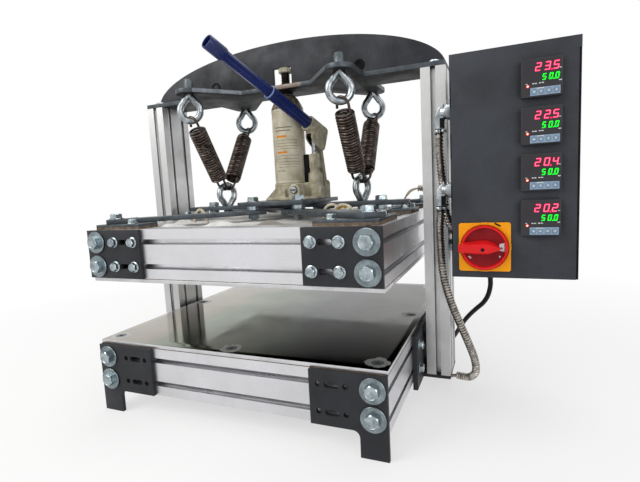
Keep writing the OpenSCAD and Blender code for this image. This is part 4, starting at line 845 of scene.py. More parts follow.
def hose(name, start, route, pitch, node, body):
    """A ribbed hose from its elbow along its route; it rides on a body if one is given."""
    below = (start[0], start[1], start[2] - HOSE_STRAIGHT)
    line = curve(drawn([start, below, *route]), HOSE_STEPS)
    long = length_of(line)
    values = {
        "Radius": HOSE_R * MM, "Pitch": pitch * MM, "Points": int(long / (pitch * MM) * RIB_POINTS),
        "Finish": conduit_steel
    }
    mesh = grown(name, line_mesh(line), ribs, values)
    mesh.materials.clear()
    made = settle(name, mesh, conduit_steel, body, math.radians(50))
    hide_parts(node)
    return made, line


upper_hose, upper_line = hose("upper_conduit_hose", UPPER_START, UPPER_ROUTE, 5.2, "upper_conduit", None)
lower_hose, lower_line = hose("lower_conduit_hose", LOWER_START, LOWER_ROUTE, 4.6, "lower_conduit", "frame")
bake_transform(upper_hose)
LEAD_R = 1.7
for side, points in zip(("front", "back"), UPPER_LEADS):
    swept(f"upper_lead_{side}", curve(drawn(points), 24), LEAD_R * MM, 10, braid, "platen")
for side, points in zip(("front", "back"), LOWER_LEADS):
    swept(f"lower_lead_{side}", curve(drawn(points), 40), LEAD_R * MM, 10, braid, "frame")
for made, line, start in ((upper_hose, upper_line, UPPER_START), (lower_hose, lower_line, LOWER_START)):
    print(made.name, round(length_of(line), 3), "m")

# %% [markdown]
# Die-cast elbows turn the hoses down from the box's wall. Each one is a box with a slanting back
# lid, a round stub that goes into the wall, and a clamp with two screws below that grips the
# hose. A black plate on the front of the body is painted shade of the hollow on the side of the
# wall.

# %% Hose elbows
ELBOW_REACH, STUB_R = 23, 10.5
ELBOW_SIDE = [(-5.8, -25.4), (8.6, -25.4), (9.2, -4), (9.2, 9.9), (3.4, 10.2), (-2.4, 3.2), (-5.2, -11)]
LID_SIDE = [(-3.4, 2.6), (-6.0, -11.2), (-6.5, -20), (-5.4, -20), (-4.9, -11.2), (-2.2, 2.6)]


def on_side(x, z):
    """Lift for a form drawn on the elbow's side; w counts backwards from the hose's axis."""
    return lambda u, v, w: at(x + u, -80 + w, z + v)


CLAMP_SCREW = [(0, 2.4), (1.4, 2.4), (2, 1.6)]
STUB = [
    (0, 7), (0.2, STUB_R - 0.6), (1, STUB_R), (9, STUB_R), (9.3, STUB_R + 1.5),
    (ELBOW_REACH - 3, STUB_R + 1.5)
]
# A black plate on the elbow's front: painted shade of the hollow beside the wall.
HOLLOW_SHADE = [(2.4, -9.2), (8.4, -9.2), (8.0, -24.4), (2.4, -24.4)]
elbow_parts = []
for z in (473.1, 354.4):
    x, y, _ = UPPER_START
    side = on_side(x, z)
    elbow_parts += painted(
        0,
        eased(*slab(ELBOW_SIDE, side, -8.6, 8.0), 1.3, 3, 3),
        eased(*slab(LID_SIDE, side, -6.4, 5.8), 0.4, 2, 1),
        turned(STUB, at(x + 3, y, z - 0.6), RIGHT, 36),
        turned([(-1, 2.2), (2.2, 2.2), (2.8, 1.6)], at(x + 5.6, y, z + 10), UP, 16),
        turned([(-1, 2.6), (1.8, 2.4), (2.4, 1.8)], at(x + 12.6, y - 2, z + 9.4), UP, 16),
        block((x - 5.6, y - 9.8, z - 31.4), (x + 3.4, y + 7, z - 26.2), 1.2, 3),
        block((x + 4.2, y - 9.4, z - 30.6), (x + 11.4, y + 7, z - 26.6), 1.0, 3),
        turned(CLAMP_SCREW, at(x - 1.2, y - 9.8, z - 28.8), FRONT, 16),
        turned(CLAMP_SCREW, at(x + 7.8, y - 9.4, z - 28.6), FRONT, 16),
    )
    ferrule = turned([(0, 6.6), (7.5, 6.6)], at(x, y, z - 33), UP, 28)
    elbow_parts += painted(1, slab(HOLLOW_SHADE, side, -8.9, -8.4), ferrule)
elbows = joined(
    "conduit_elbow_castings", elbow_parts, [eye_zinc, black_shade_and_marks], "frame", "zinc", math.radians(45)
)
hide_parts("conduit_elbows")

# %% [markdown]
# The springs are closely wound from 4.7 mm wire and hooked into eyebolts at both ends. Each one
# runs from a ring on the cross bar up to a ring under the beam, leaning outwards. The line of
# the wire is worked out from the two rings: a hook, the curls, a hook that is turned a little
# from the first. Each wire rides on neither body.

# %% Springs
RING_R, SPRING_R, SPRING_WIRE_R = 19.25, 14.8, 2.35
HOOK_R, HOOK_LONG, HOOK_STUB, HOOK_GAP = 12.25, 27, 3, 8.5
UPPER_RING_Z, LOWER_RING_Z = 524.5, 365.3
HANGER_X, HANGER_Y, CURL_POINTS, HANG, HOOK_SKEW = 150, 100, 16, 0.8, 40


def square_to(v, direction):
    """The unit vector along v, with its part along the direction taken out."""
    return (v - direction * v.dot(direction)).normalized()


def spring_line(x, y, curls):
    """The wire's line in frame metres, with the points where the curls start and end."""
    low_turn, high_turn = math.radians(70), math.radians(25)
    low_centre, high_centre = Vector((x, 0, LOWER_RING_Z)), Vector((x, y, UPPER_RING_Z))
    low_normal = Vector((math.sin(low_turn), -math.cos(low_turn), 0))
    high_normal = Vector((math.sin(high_turn), -math.cos(high_turn), 0))
    line = high_centre - low_centre
    low_rod = low_centre + RING_R * square_to(line, low_normal)
    high_rod = high_centre + RING_R * square_to(-line - Vector((0, 0, HANG * line.length)), high_normal)
    way = (high_rod - low_rod).normalized()
    foot = low_rod - HOOK_GAP * way
    long = (high_rod - low_rod).length + 2 * HOOK_GAP
    ex = square_to(low_normal, way)
    ey = way.cross(ex)
    high_side = square_to(high_normal, way)
    phase = math.atan2(high_side.dot(ey), high_side.dot(ex)) + math.radians(HOOK_SKEW)
    start, end = HOOK_LONG, long - HOOK_LONG
    local = [(-SPRING_R + 1, 0, start - 2.2 * SPRING_WIRE_R), (-HOOK_R, 0, HOOK_R + HOOK_STUB)]
    for i in range(11):
        angle = math.pi * (1 + i / 10)
        local.append((HOOK_R * math.cos(angle), 0, HOOK_R + HOOK_R * math.sin(angle)))
    local += [(HOOK_R, 0, (HOOK_R + start) / 2), (HOOK_R, 0, start - SPRING_WIRE_R)]
    for i in range(curls * CURL_POINTS + 1):
        share = i / (curls * CURL_POINTS)
        angle = (2 * math.pi * curls + phase) * share
        out = SPRING_R - (SPRING_R - HOOK_R) * max(0, 1 - 2 * curls * min(share, 1 - share))
        local.append((out * math.cos(angle), out * math.sin(angle), start + (end - start) * share))
    for height in (end + SPRING_WIRE_R, (end + long - HOOK_R) / 2):
        local.append((HOOK_R * math.cos(phase), HOOK_R * math.sin(phase), height))
    for i in range(11):
        angle = math.pi * i / 10
        side = HOOK_R * math.cos(angle)
        local.append(
            (side * math.cos(phase), side * math.sin(phase), long - HOOK_R + HOOK_R * math.sin(angle))
        )
    for out, height in ((HOOK_R, long - HOOK_R - HOOK_STUB), (SPRING_R - 1, end + 2.2 * SPRING_WIRE_R)):
        local.append((-out * math.cos(phase), -out * math.sin(phase), height))
    placed = [foot + a * ex + b * ey + c * way for a, b, c in local]
    ends = [foot + way * start, foot + way * end]
    return [at(*p) for p in placed], [at(*p) for p in ends]


for name, x, y, curls in (
    ("spring_front_left", -HANGER_X, -HANGER_Y, 22),
    ("spring_front_right", HANGER_X, -HANGER_Y, 22),
    ("spring_back_left", -HANGER_X, HANGER_Y, 23),
    ("spring_back_right", HANGER_X, HANGER_Y, 23),
):
    wire, ends = spring_line(x, y, curls)
    made = swept(f"{name}_wire", wire, SPRING_WIRE_R * MM, 10, spring_steel, None)
    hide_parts(name)
    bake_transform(made)
    print(name, round(length_of(wire), 2), "m of wire")

# %% [markdown]
# The springs hang on eyebolts bent from bar. The bar comes down from its thread, swings out,
# goes round and comes back up against its own neck, so the eye is pear-shaped. The upper ones
# hang from the beam's ears and the lower ones stand on the cross bar.

# %% Eyebolts
EYE_R, EYE_ROD_R, BEAM_TOP, CROSS_TOP = 18.7, 6.2, 562, 340
STUD = [(-8, 6), (0, 6), (0.1, 8), (15.5, 8), (16.5, 7.2), (19, 7.2), (19.6, 6.4)]


def eye(x, y, z, turn, up, neck):
    """An eye round a centre, in a plane turned about the vertical, with its neck up or down."""
    c, s = math.cos(math.radians(turn)), math.sin(math.radians(turn))
    flat = [(1, neck), (1, (neck + 32) / 2), (1.6, 29), (5.6, 23)]
    turns = [math.radians(a) for a in range(50, -231, -14)]
    flat += [(EYE_R * math.cos(a), EYE_R * math.sin(a)) for a in turns]
    flat += [(-8.6, 19.6), (-5.4, 24), (-3.6, 27.5)]
    line = curve([at(x + u * c, y + u * s, z + up * v) for u, v in flat], 160)
    return bent(line, [EYE_ROD_R] * len(line), 20)


upper_eyes, lower_eyes = [], []
for x in (-HANGER_X, HANGER_X):
    for y in (-HANGER_Y, HANGER_Y):
        upper_eyes += painted(0, eye(x, y, UPPER_RING_Z, 25, 1, 38))
        upper_eyes += painted(1, turned(STUD, at(x, y, BEAM_TOP), UP, 24))
    lower_eyes += painted(0, eye(x, 0, LOWER_RING_Z, 70, -1, 40))
    lower_eyes += painted(1, turned([(0, 10.4), (8, 10.4)], at(x, 0, CROSS_TOP - 16.3), UP, 6))
upper_set = joined(
    "upper_eyebolt_bars", upper_eyes, [eye_zinc, mill_steel], "frame", "zinc", math.radians(50)
)
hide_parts("upper_eyebolts")
lower_set = joined(
    "lower_eyebolt_bars", lower_eyes, [eye_zinc, mill_steel], "platen", "zinc", math.radians(50)
)
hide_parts("lower_eyebolts")

# %% [markdown]
# Heads, washers and nuts repeat a hundred times, in a few sizes, on every side of the press.
# One small mesh of each is made, and a tree puts it on every point of a list. Each point
# carries two attributes: the way its fastener faces, and a size that gives its width and its
# height. Nobody lines up bolts, so each one is spun by a random angle, with a fixed seed.

# %% Fasteners on places
places, places_in, places_out = new_tree(
    "Fasteners on places",
    [
        ("Fastener", "NodeSocketObject", None), ("Seed", "NodeSocketInt", 1),
        ("Finish", "NodeSocketMaterial", None)
    ],
)
place_kind = add(
    places, "GeometryNodeObjectInfo", {"Object": places_in.outputs["Fastener"], "As Instance": True}
)
place_facing = add(places, "GeometryNodeInputNamedAttribute", {"Name": "facing"}, data_type="FLOAT_VECTOR")
place_size = add(places, "GeometryNodeInputNamedAttribute", {"Name": "size"}, data_type="FLOAT_VECTOR")
place_up = add(
    places, "FunctionNodeAlignRotationToVector", {"Vector": place_facing.outputs["Attribute"]}, axis="Z"
)
place_spin = add(places, "FunctionNodeRandomValue", {"Seed": places_in.outputs["Seed"]}, data_type="FLOAT")
place_turn = reckon(places, "MULTIPLY", place_spin.outputs[1], 2 * math.pi)
place_about = add(places, "FunctionNodeAxisAngleToRotation", {"Axis": UP, "Angle": place_turn})
place_both = add(
    places,
    "FunctionNodeRotateRotation",
    {"Rotation": place_up.outputs["Rotation"], "Rotate By": place_about.outputs["Rotation"]},
    rotation_space="LOCAL",
)
place_points = add(places, "GeometryNodeMeshToPoints", {"Mesh": places_in.outputs["Geometry"]})
place_set = add(
    places,
    "GeometryNodeInstanceOnPoints",
    {
        "Points": place_points.outputs["Points"],
        "Instance": place_kind.outputs["Geometry"],
        "Rotation": place_both.outputs["Rotation"],
        "Scale": place_size.outputs["Attribute"],
    },
)
deliver(places, place_set.outputs["Instances"], places_in, places_out)

# %% [markdown]
# A hexagon head is a hexagon whose corners are cut by a cone, which leaves the curved chamfers
# that catch the light. It is drawn here as rings of 36 points: the radius follows the hexagon,
# and the height falls where the radius grows. Every template is about one unit wide and high,
# because the places scale it.

# %% Templates: head, nut and washer
HEX_SIDES = 36


def hexagon(share, a):
    """The radius of a hexagon, one unit across its flats, at an angle; share 0 makes it round."""
    inside = (a + math.pi / 6) % (math.pi / 3) - math.pi / 6
    return 0.5 * ((1 - share) + share / math.cos(inside))


def hex_rings(levels):
    """Points and faces of a form of rings: (height, scale, hexagon share, chamfer)."""
    points = []
    for height, scale, share, chamfer in levels:
        for k in range(HEX_SIDES):
            a = 2 * math.pi * k / HEX_SIDES
            radius = hexagon(share, a) * scale
            points.append(
                Vector((radius * math.cos(a), radius * math.sin(a), height - chamfer * (hexagon(1, a) - 0.5)))
            )
    return points, rings_to_faces(len(levels), HEX_SIDES)


def template(name, parts):
    """A template object for the places, at the origin."""
    points, faces, _ = join([(*part, 0) for part in parts])
    mesh = bpy.data.meshes.new(name)
    mesh.from_pydata([tuple(p) for p in points], [], faces)
    made = bpy.data.objects.new(name, mesh)
    bpy.context.scene.collection.objects.link(made)
    return made


hex_head = template("template_head", [hex_rings([
    (0, 0.97, 1, 0), (0.02, 1, 1, 0), (0.9, 1, 1, 1.1), (1.0, 0.95, 0, 0), (0.99, 0.84, 0, 0),
    (0.95, 0.8, 0, 0), (0.95, 0.1, 0, 0),
])])
flange_head = template("template_flange_head", [hex_rings([
    (0, 1.3, 0, 0), (0.06, 1.346, 0, 0), (0.12, 1.346, 0, 0), (0.24, 1.12, 0, 0), (0.25, 1, 1, 0),
    (0.9, 1, 1, 1.1), (1.0, 0.94, 0, 0), (0.98, 0.82, 0, 0), (0.93, 0.78, 0, 0), (0.93, 0.1, 0, 0),
])])
hex_nut = template("template_nut", [hex_rings([
    (0, 0.95, 0, 0), (0.08, 1, 1, -0.8), (0.92, 1, 1, 0.8), (1.0, 0.95, 0, 0), (1.0, 0.68, 0, 0),
    (0.94, 0.63, 0, 0), (1.18, 0.62, 0, 0), (1.24, 0.56, 0, 0),
])])
washer = template("template_washer", [hex_rings([
    (0, 0.97, 0, 0), (0.18, 1, 0, 0), (0.75, 1, 0, 0), (1, 0.965, 0, 0), (1, 0.3, 0, 0),
])])
socket_cap = template("template_core_screw", [hex_rings([
    (0, 1, 0, 0), (0.75, 1, 0, 0), (1, 0.9, 0, 0), (1, 0.42, 0, 0), (0.96, 0.4, 1, 0), (0.4, 0.4, 1, 0),
    (0.4, 0.05, 1, 0),
])])

# %% Where the fasteners are
EDGE_Y, BOLT_X, SMALL_XS, ARM_BOLT = 266, 235, (196.6, 156.2), (227.3, 227)
PAD_BOLTS = ((178, 240), (235, 178), (235, 28))
SIDES = (-1, 1)


def corner_bolts(cells):
    """Big bolts of the four corner plates, front and back."""
    return [((sx * BOLT_X, sy * EDGE_Y, z), (0, sy, 0)) for sx in SIDES for sy in SIDES for z in cells]


def mirrored(points, z, way):
    """Places at all four mirror images of points."""
    return [((sx * x, sy * y, z), way) for x, y in points for sx in SIDES for sy in SIDES]


def raised(spots, height):
    """The same places, moved out along their way."""
    return [(tuple(p + w * height for p, w in zip(point, way)), way) for point, way in spots]


base_big, moving_big = corner_bolts((58, 98)), corner_bolts((256, 296))
moving_small = [
    ((sx * x, sy * EDGE_Y, z), (0, sy, 0))
    for x in SMALL_XS for sx in SIDES for sy in SIDES for z in (256, 296)
]
bracket_small = [((sx * 263, sy * 80, z), (sx, 0, 0)) for sx in SIDES for sy in SIDES for z in (58, 98)]
core_top = mirrored([(289, 20)], 562, UP)
core_low = mirrored([(289, 20)], 25, DOWN)
bar_tops = mirrored([(48, 66)], 348, UP) + mirrored([ARM_BOLT], 332, UP)
cross_tops = [((sx * 186, 0, 340), UP) for sx in SIDES]
cross_nuts = [((sx * 186, 0, 331.9), DOWN) for sx in SIDES]
centre_nuts = mirrored([(48, 66)], 323.9, DOWN)
pad_tops = mirrored(PAD_BOLTS, 324, UP)


def fasten(name, kind, spots, width, height, seed, body, paint=zinc):
    """One kind of fastener on a list of places, as one plain mesh."""
    mesh = bpy.data.meshes.new(name)
    mesh.from_pydata([tuple(at(*point)) for point, way in spots], [], [])
    facing = mesh.attributes.new("facing", "FLOAT_VECTOR", "POINT")
    facing.data.foreach_set("vector", [part for point, way in spots for part in way])
    size = mesh.attributes.new("size", "FLOAT_VECTOR", "POINT")
    size.data.foreach_set("vector", [width * MM, width * MM, height * MM] * len(spots))
    result = grown(name, mesh, places, {"Fastener": kind, "Seed": seed, "Finish": paint})
    result.materials.clear()
    return settle(name, result, paint, body, math.radians(28))


frame_set = [
    fasten("base_washers", washer, base_big, 37, 3, 3, "frame", paint=washer_zinc),
    fasten("base_heads", hex_head, raised(base_big, 3), 19, 7.5, 4, "frame"),
    fasten("bracket_heads", flange_head, bracket_small, 13, 7.6, 5, "frame"),
    fasten("post_core_screws", socket_cap, core_top + core_low, 20, 5, 6, "frame"),
]
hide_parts("frame_bolts")
platen_set = [
    fasten("moving_washers", washer, moving_big, 37, 3, 7, "platen", paint=washer_zinc),
    fasten("moving_heads", hex_head, raised(moving_big, 3), 19, 7.5, 8, "platen"),
    fasten("moving_flange_heads", flange_head, moving_small + pad_tops, 13, 7.6, 9, "platen"),
    fasten("arm_washers", washer, bar_tops + cross_tops, 24, 1.6, 10, "platen"),
    fasten("arm_heads", hex_head, raised(bar_tops + cross_tops, 1.6), 19, 7.5, 11, "platen"),
    fasten("arm_nuts", hex_nut, centre_nuts + cross_nuts, 19, 8.5, 12, "platen"),
]
SPACER = [(0.1, 11.6), (0.5, 12), (7.5, 12), (7.9, 11.6)]
spacers = []
for side in SIDES:
    spacers += painted(0, *[turned(SPACER, at(side * 48, y, 332), UP, 28) for y in (-66, 66)])
    spacers += painted(0, block((side * 219 - 12, -9.5, 324.1), (side * 219 + 12, 9.5, 331.9), 0.4))
platen_set.append(joined("arm_spacers", spacers, [zinc], "platen", "zinc"))
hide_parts("platen_bolts")
for kind in (hex_head, flange_head, hex_nut, washer, socket_cap):
    bpy.data.objects.remove(kind)
print(sum(len(made.data.polygons) for made in frame_set + platen_set), "faces of fasteners")

# %% [markdown]
# Flat steel looks real when its edges are not perfectly sharp, because a rounded edge always
# finds a light to reflect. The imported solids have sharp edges, so the plates that show are
# copied, their triangles are joined to flat faces again, and their long edges are rounded.
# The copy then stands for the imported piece.

# %% Plates with rounded edges
LONG_FACE, LEVEL_FACE, SLANTING_FACE = 2.5e-4, 0.8, 0.25


def trimmed(node, soft, paint, body, slot, shortest=3.0):
    """A copy of a packed plate with its long edges rounded.

    Paint is one material, or a list: for level faces, edges, long slanting edges, the underside.
    """
    work = bmesh.new()
    work.from_mesh(bpy.data.objects[node].data)
    bmesh.ops.remove_doubles(work, verts=work.verts, dist=0.002 * MM)
    bmesh.ops.dissolve_limit(work, angle_limit=math.radians(1), verts=work.verts, edges=work.edges)
    points, faces = listed(work)
    made = piece(f"{node}_trimmed", *eased(points, faces, soft, 2, shortest), paint, body, slot)
    if isinstance(paint, list):
        for face in made.data.polygons:
            x, y, z = face.normal
            if abs(z) > LEVEL_FACE:
                face.material_index = 3 if z < 0 and len(paint) > 3 else 0
            else:
                slanting = min(abs(x), abs(y)) > SLANTING_FACE and face.area > LONG_FACE
                face.material_index = min(len(paint) - 1, 2 if slanting else 1)
    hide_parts(node)
    return made


for node, soft, paint, body, slot_name in (
    ("base_corner_plates", 0.6, corner_black, "frame", "black_steel"),
    ("platen_corner_plates", 0.6, corner_black, "platen", "black_steel"),
    ("post_brackets", 0.6, corner_black, "frame", "black_steel"),
    # The beam plate's downward faces take the painted shade.
    ("beam_plate", 0.5, [black_steel, cut_edge, brushed_edge, underside_shade_steel], "frame", "dark_steel"),
    ("arch_plate", 0.5, black_steel, "frame", "dark_steel"),
    ("pad_plates", 0.4, [mill_steel, cut_edge], "platen", "dark_steel"),
    ("spider_arms", 0.7, [mill_steel, cut_edge], "platen", "dark_steel"),
    ("cross_bar", 0.7, [mill_steel, cut_edge], "platen", "dark_steel"),
    ("centre_plate", 0.7, [mill_steel, cut_edge], "platen", "dark_steel"),
    ("lower_platen", 0.5, [polished, milled_edge], "frame", "platen"),
    ("upper_platen", 0.5, [polished, milled_edge], "platen", "platen"),
    ("control_tray", 0.8, box_grey, "frame", "box_paint"),
):
    made = trimmed(node, soft, paint, body, slot_name)
    print(made.name, len(made.data.polygons), "faces")

# %% Dark discs that fill the arch's holes
hole_disc_form = [(-3, 10.8), (0.2, 10.8), (0.5, 10.0), (0.5, 6.4), (-0.6, 5.8), (-0.6, 0.5)]
hole_discs = [(*turned(hole_disc_form, at(side * 155, -4, 584), FRONT, 32), 0) for side in SIDES]
joined("arch_plugs", hole_discs, [black_shade_and_marks], "frame", "dark_steel")

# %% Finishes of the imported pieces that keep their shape
for node, paint in {
    "base_beams": anodised,
    "platen_beams": anodised,
    "posts": anodised_post,
    "box_spacers": zinc,
    "lower_gasket": gasket_brown,
    "platen_gaskets": gasket_brown,
    "lower_platen_screws": mill_steel,
    "lower_heaters": heater_mica,
    "upper_heaters": heater_mica,
    "controller_windows": smoke,
    "switch_body": black_abs,
    "relays": relay_grey,
    **{f"keypad_{n}": key_blue for n in range(1, 5)},
    "pump_piston": bright_pin,
    "pump_link": cast_beige,
    "jack_ram": ram_steel,
}.items():
    mesh = bpy.data.objects[node].data
    mesh.materials.clear()
    mesh.materials.append(paint)

# %% [markdown]
# Mineral wool fills the moving frame above the heaters. It was laid in by hand, so its top is a
# field of soft lumps and creases with a few wide swells, and it is rounded down along the
# frame. The top is a grid of points lifted by noise: wide noise for the lumps, folded noise for
# the creases, fine noise for the fibres.

# %% Mineral wool blanket
WOOL_X, WOOL_Y, WOOL_LOW, WOOL_TOP, WOOL_CELLS = 213.5, 218.5, 243.4, 310.5, 150
SWELLS = ((-143, -187, 30), (-51, -172, 30), (51, -187, 28), (-190, -100, 26), (150, -60, 30), (-95, 60, 40))


def wool_height(x, y):
    """The height of the wool's top over a point of the plan."""
    lumps = noise.noise(Vector((x / 38, y / 38, 3.1)))
    crease = 1 - abs(noise.noise(Vector((x / 21, y / 21, 8.4)))) * 2
    fibre = noise.noise(Vector((x / 5.5, y / 5.5, 1.7)))
    swell = sum(9.5 * math.exp(-((x - cx) ** 2 + (y - cy) ** 2) / (0.5 * r * r)) for cx, cy, r in SWELLS)
    edge = min(WOOL_X - abs(x), WOOL_Y - abs(y))
    droop = 7.0 * math.exp(-edge / 7)
    return min(321.5, WOOL_TOP + 2.4 * lumps + 1.6 * max(0, crease) + 0.7 * fibre + swell - droop)


wool_points, wool_faces = [], []
side_count = WOOL_CELLS + 1
for j in range(side_count):
    for i in range(side_count):
        x, y = -WOOL_X + 2 * WOOL_X * i / WOOL_CELLS, -WOOL_Y + 2 * WOOL_Y * j / WOOL_CELLS
        wool_points.append(at(x, y, wool_height(x, y)))
for j in range(WOOL_CELLS):
    for i in range(WOOL_CELLS):
        k = j * side_count + i
        wool_faces.append([k, k + 1, k + 1 + side_count, k + side_count])
rim = list(range(side_count))
rim += [j * side_count + WOOL_CELLS for j in range(1, side_count)]
rim += [WOOL_CELLS * side_count + i for i in range(WOOL_CELLS - 1, -1, -1)]
rim += [j * side_count for j in range(WOOL_CELLS - 1, 0, -1)]
for drop in (0.35, 0.7, 1.0):
    first = len(wool_points)
    for k in rim:
        point = wool_points[k].copy()
        point.z = point.z + (WOOL_LOW * MM - point.z) * drop
        inward = 1 - 0.008 * math.sin(math.pi * drop) * (1 + noise.noise(point * 60))
        point.x = (point.x + PRESS_X * MM) * inward - PRESS_X * MM
        point.y *= inward
        wool_points.append(point)
    above_ring = rim if drop == 0.35 else list(range(first - len(rim), first))
    for n in range(len(rim)):
        m = (n + 1) % len(rim)
        wool_faces.append([above_ring[n], first + n, first + m, above_ring[m]])
wool_faces.append(list(range(len(wool_points) - len(rim), len(wool_points))))
blanket = piece("wool_blanket", wool_points, wool_faces, wool, "platen", "wool", math.radians(80))
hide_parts("insulation")

# %% [markdown]
# The heater leads come out of the wool in three bare loops of glass-braided wire, with a yellow
# sleeve over one crimp.

# %% Heater leads over the wool
LOOPS = ((-150, -96, 34), (146, -98, 44), (118, -78, 36))
LOOP_RISE, LOOP_FOOT, LOOP_R = 30, 308, 2.4
for n, (x, y, wide) in enumerate(LOOPS):
    line = []
    for s in range(25):
        angle = math.pi * s / 24
        lean = 2.5 * math.sin(2 * angle + n)
        rise = LOOP_RISE * math.sin(angle) ** 0.8
        line.append(at(x - wide / 2 * math.cos(angle), y + lean, LOOP_FOOT + rise))
    swept(f"heater_lead_{n + 1}", line, LOOP_R * MM, 12, braid, "platen")
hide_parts("heater_leads")
sleeve_line = curve([at(132, -88, 330), at(141, -94, 335.5), at(150, -98, 334)], 10)
swept("yellow_sleeve", sleeve_line, 3.1 * MM, 12, yellow_sleeve, "platen")

# %% [markdown]
# The bottle jack is half turned parts and half casting. The tank, the cap, the ram and the
# extension screw are turned on one axis. The base is cast iron with ribs and lugs that melt
# into each other, so its simple parts are made first and then wrapped in one skin by a voxel
# remesh, which leaves the fillets that a foundry would.

# %% Casting helper and the lever's own plane
LEVER_TURN, PUMP_X, RAM_X, JACK_Z = math.radians(-110), 57, 4, 348
AHEAD = Vector((math.cos(LEVER_TURN), math.sin(LEVER_TURN), 0))
ACROSS = Vector((-math.sin(LEVER_TURN), math.cos(LEVER_TURN), 0))


def lever(u, v, h):
    """A point of the pump: u ahead along the lever, v across it, h above the jack's underside."""
    return at(PUMP_X, 0, JACK_Z + h) + (AHEAD * u + ACROSS * v) * MM


def on_lever(u, v, w):
    """Lift for a plate that stands along the lever; w counts across it."""
    return lever(u, w, v)


def cast(name, parts, voxel, relax, paint, body, slot, cut=None):
    """Wrap closed parts in one skin, less an optional cut, and relax it as sand casting does."""
    points, faces, _ = join([(*part, 0) for part in parts])
    work = loaded(points, faces)
    mesh = bpy.data.meshes.new(name)
    work.to_mesh(mesh)
    work.free()
    holder = bpy.data.objects.new(name, mesh)
    bpy.context.scene.collection.objects.link(holder)
    skin = holder.modifiers.new("skin", "REMESH")
    skin.mode, skin.voxel_size, skin.adaptivity = "VOXEL", voxel * MM, 0.0
    tool = None
    if cut:
        tool = piece(f"{name}_cut", *cut, paint, None, slot)
        less = holder.modifiers.new("less", "BOOLEAN")
        less.operation, less.object, less.solver = "DIFFERENCE", tool, "EXACT"
        again = holder.modifiers.new("again", "REMESH")
        again.mode, again.voxel_size, again.adaptivity = "VOXEL", voxel * MM, 0.0
    ease = holder.modifiers.new("ease", "SMOOTH")
    ease.factor, ease.iterations = 0.5, relax
    graph = bpy.context.evaluated_depsgraph_get()
    skinned = bpy.data.meshes.new_from_object(holder.evaluated_get(graph))
    bpy.data.objects.remove(holder)
    if tool:
        bpy.data.objects.remove(tool)
    skinned.materials.clear()
    return settle(name, skinned, paint, body, math.radians(180))


# %% Jack base
foot = rounded_box(-36, -45, 70, 45, 12)
fin = [(0, 0), (39.5, 0), (39.5, 14), (34, 21), (0, 21)]
rib = [(0, 0), (51.5, 0), (51.5, 1.5), (32, 21), (0, 21)]
FIN_PLACES = ((90, fin, 4.5), (180, fin, 4.5), (270, fin, 4.5), (135, rib, 2.4), (225, rib, 2.4))
base_parts = [
    slab(foot, at, 348, 353),
    turned([(0, 33.8), (22, 33.8)], at(RAM_X, 0, 348.2), UP, 56),
    turned([(0, 33), (30.8, 33), (31.8, 32)], at(RAM_X, 0, 348.2), UP, 56),
    turned([(0, 15), (1, 14.6), (47, 13.8), (50, 13)], at(PUMP_X, 0, 348.2), UP, 32),
    slab([(0, -8), (PUMP_X, -8), (PUMP_X, 8), (0, 8)], at, 348.2, 380),
    turned([(0, 10.5), (44, 10.5), (47.9, 9.8)], at(32, 0, 366.5), FRONT, 32),
    slab([(21.5, -46), (42.5, -46), (42.5, 0), (21.5, 0)], at, 348.2, 366.5),
    slab([(66, -9.5), (71.5, -9.5), (71.5, 9.5), (66, 9.5)], at, 348.2, 372),
]
for turn, form, half in FIN_PLACES:
    c, s = math.cos(math.radians(turn)), math.sin(math.radians(turn))
    base_parts.append(
        slab(form, lambda u, v, w: at(RAM_X + u * c - w * s, u * s + w * c, 352 + v), -half, half)
    )
for side in SIDES:
    near, far = sorted((side * 5.4, side * 9.2))
    base_parts.append(slab(circle(-24, 28, 7.4, 24), on_lever, near, far))
    base_parts.append(slab([(-31.4, 1), (-16.6, 1), (-16.6, 28), (-31.4, 28)], on_lever, near, far))
base_cast = cast("jack_base_casting", base_parts, 1.15, 4, cast_beige, "platen", "jack_paint")
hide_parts("jack_base")
# The black block between the tank and the pump is painted shade, and so is the dark ring in the boss's
# recess. The boss's face takes the paler tank enamel as a painted highlight, because it faces the light.
tank_pump_shade_block = block((34.5, -4, 379), (45, 4, 434), 0.8)
arch = [(-11, -17.8), (11, -17.8)] + circle(0, 0, 11, 40)[:21]
boss_form = slab(arch, lambda u, v, w: at(32 + u, -48 - w, 366.5 + v), -1.5, 1.2, [circle(0, 0, 7.7, 32)])
boss_face_highlight = eased(*boss_form, 0.5, 2, 0.5, 25)
boss_recess_shade = turned([(-0.4, 8.2), (0.3, 8.2), (0.3, 4)], at(32, -48, 366.5), FRONT, 28)
light_and_shade_parts = [(*tank_pump_shade_block, 2), (*boss_face_highlight, 0), (*boss_recess_shade, 1)]
joined("jack_base_trim", light_and_shade_parts, [jack_beige_and_boss_highlight, cap_grime_and_boss_shade, black_shade_and_marks], "platen", "jack_paint")
print("jack base", len(base_cast.data.polygons), "faces")

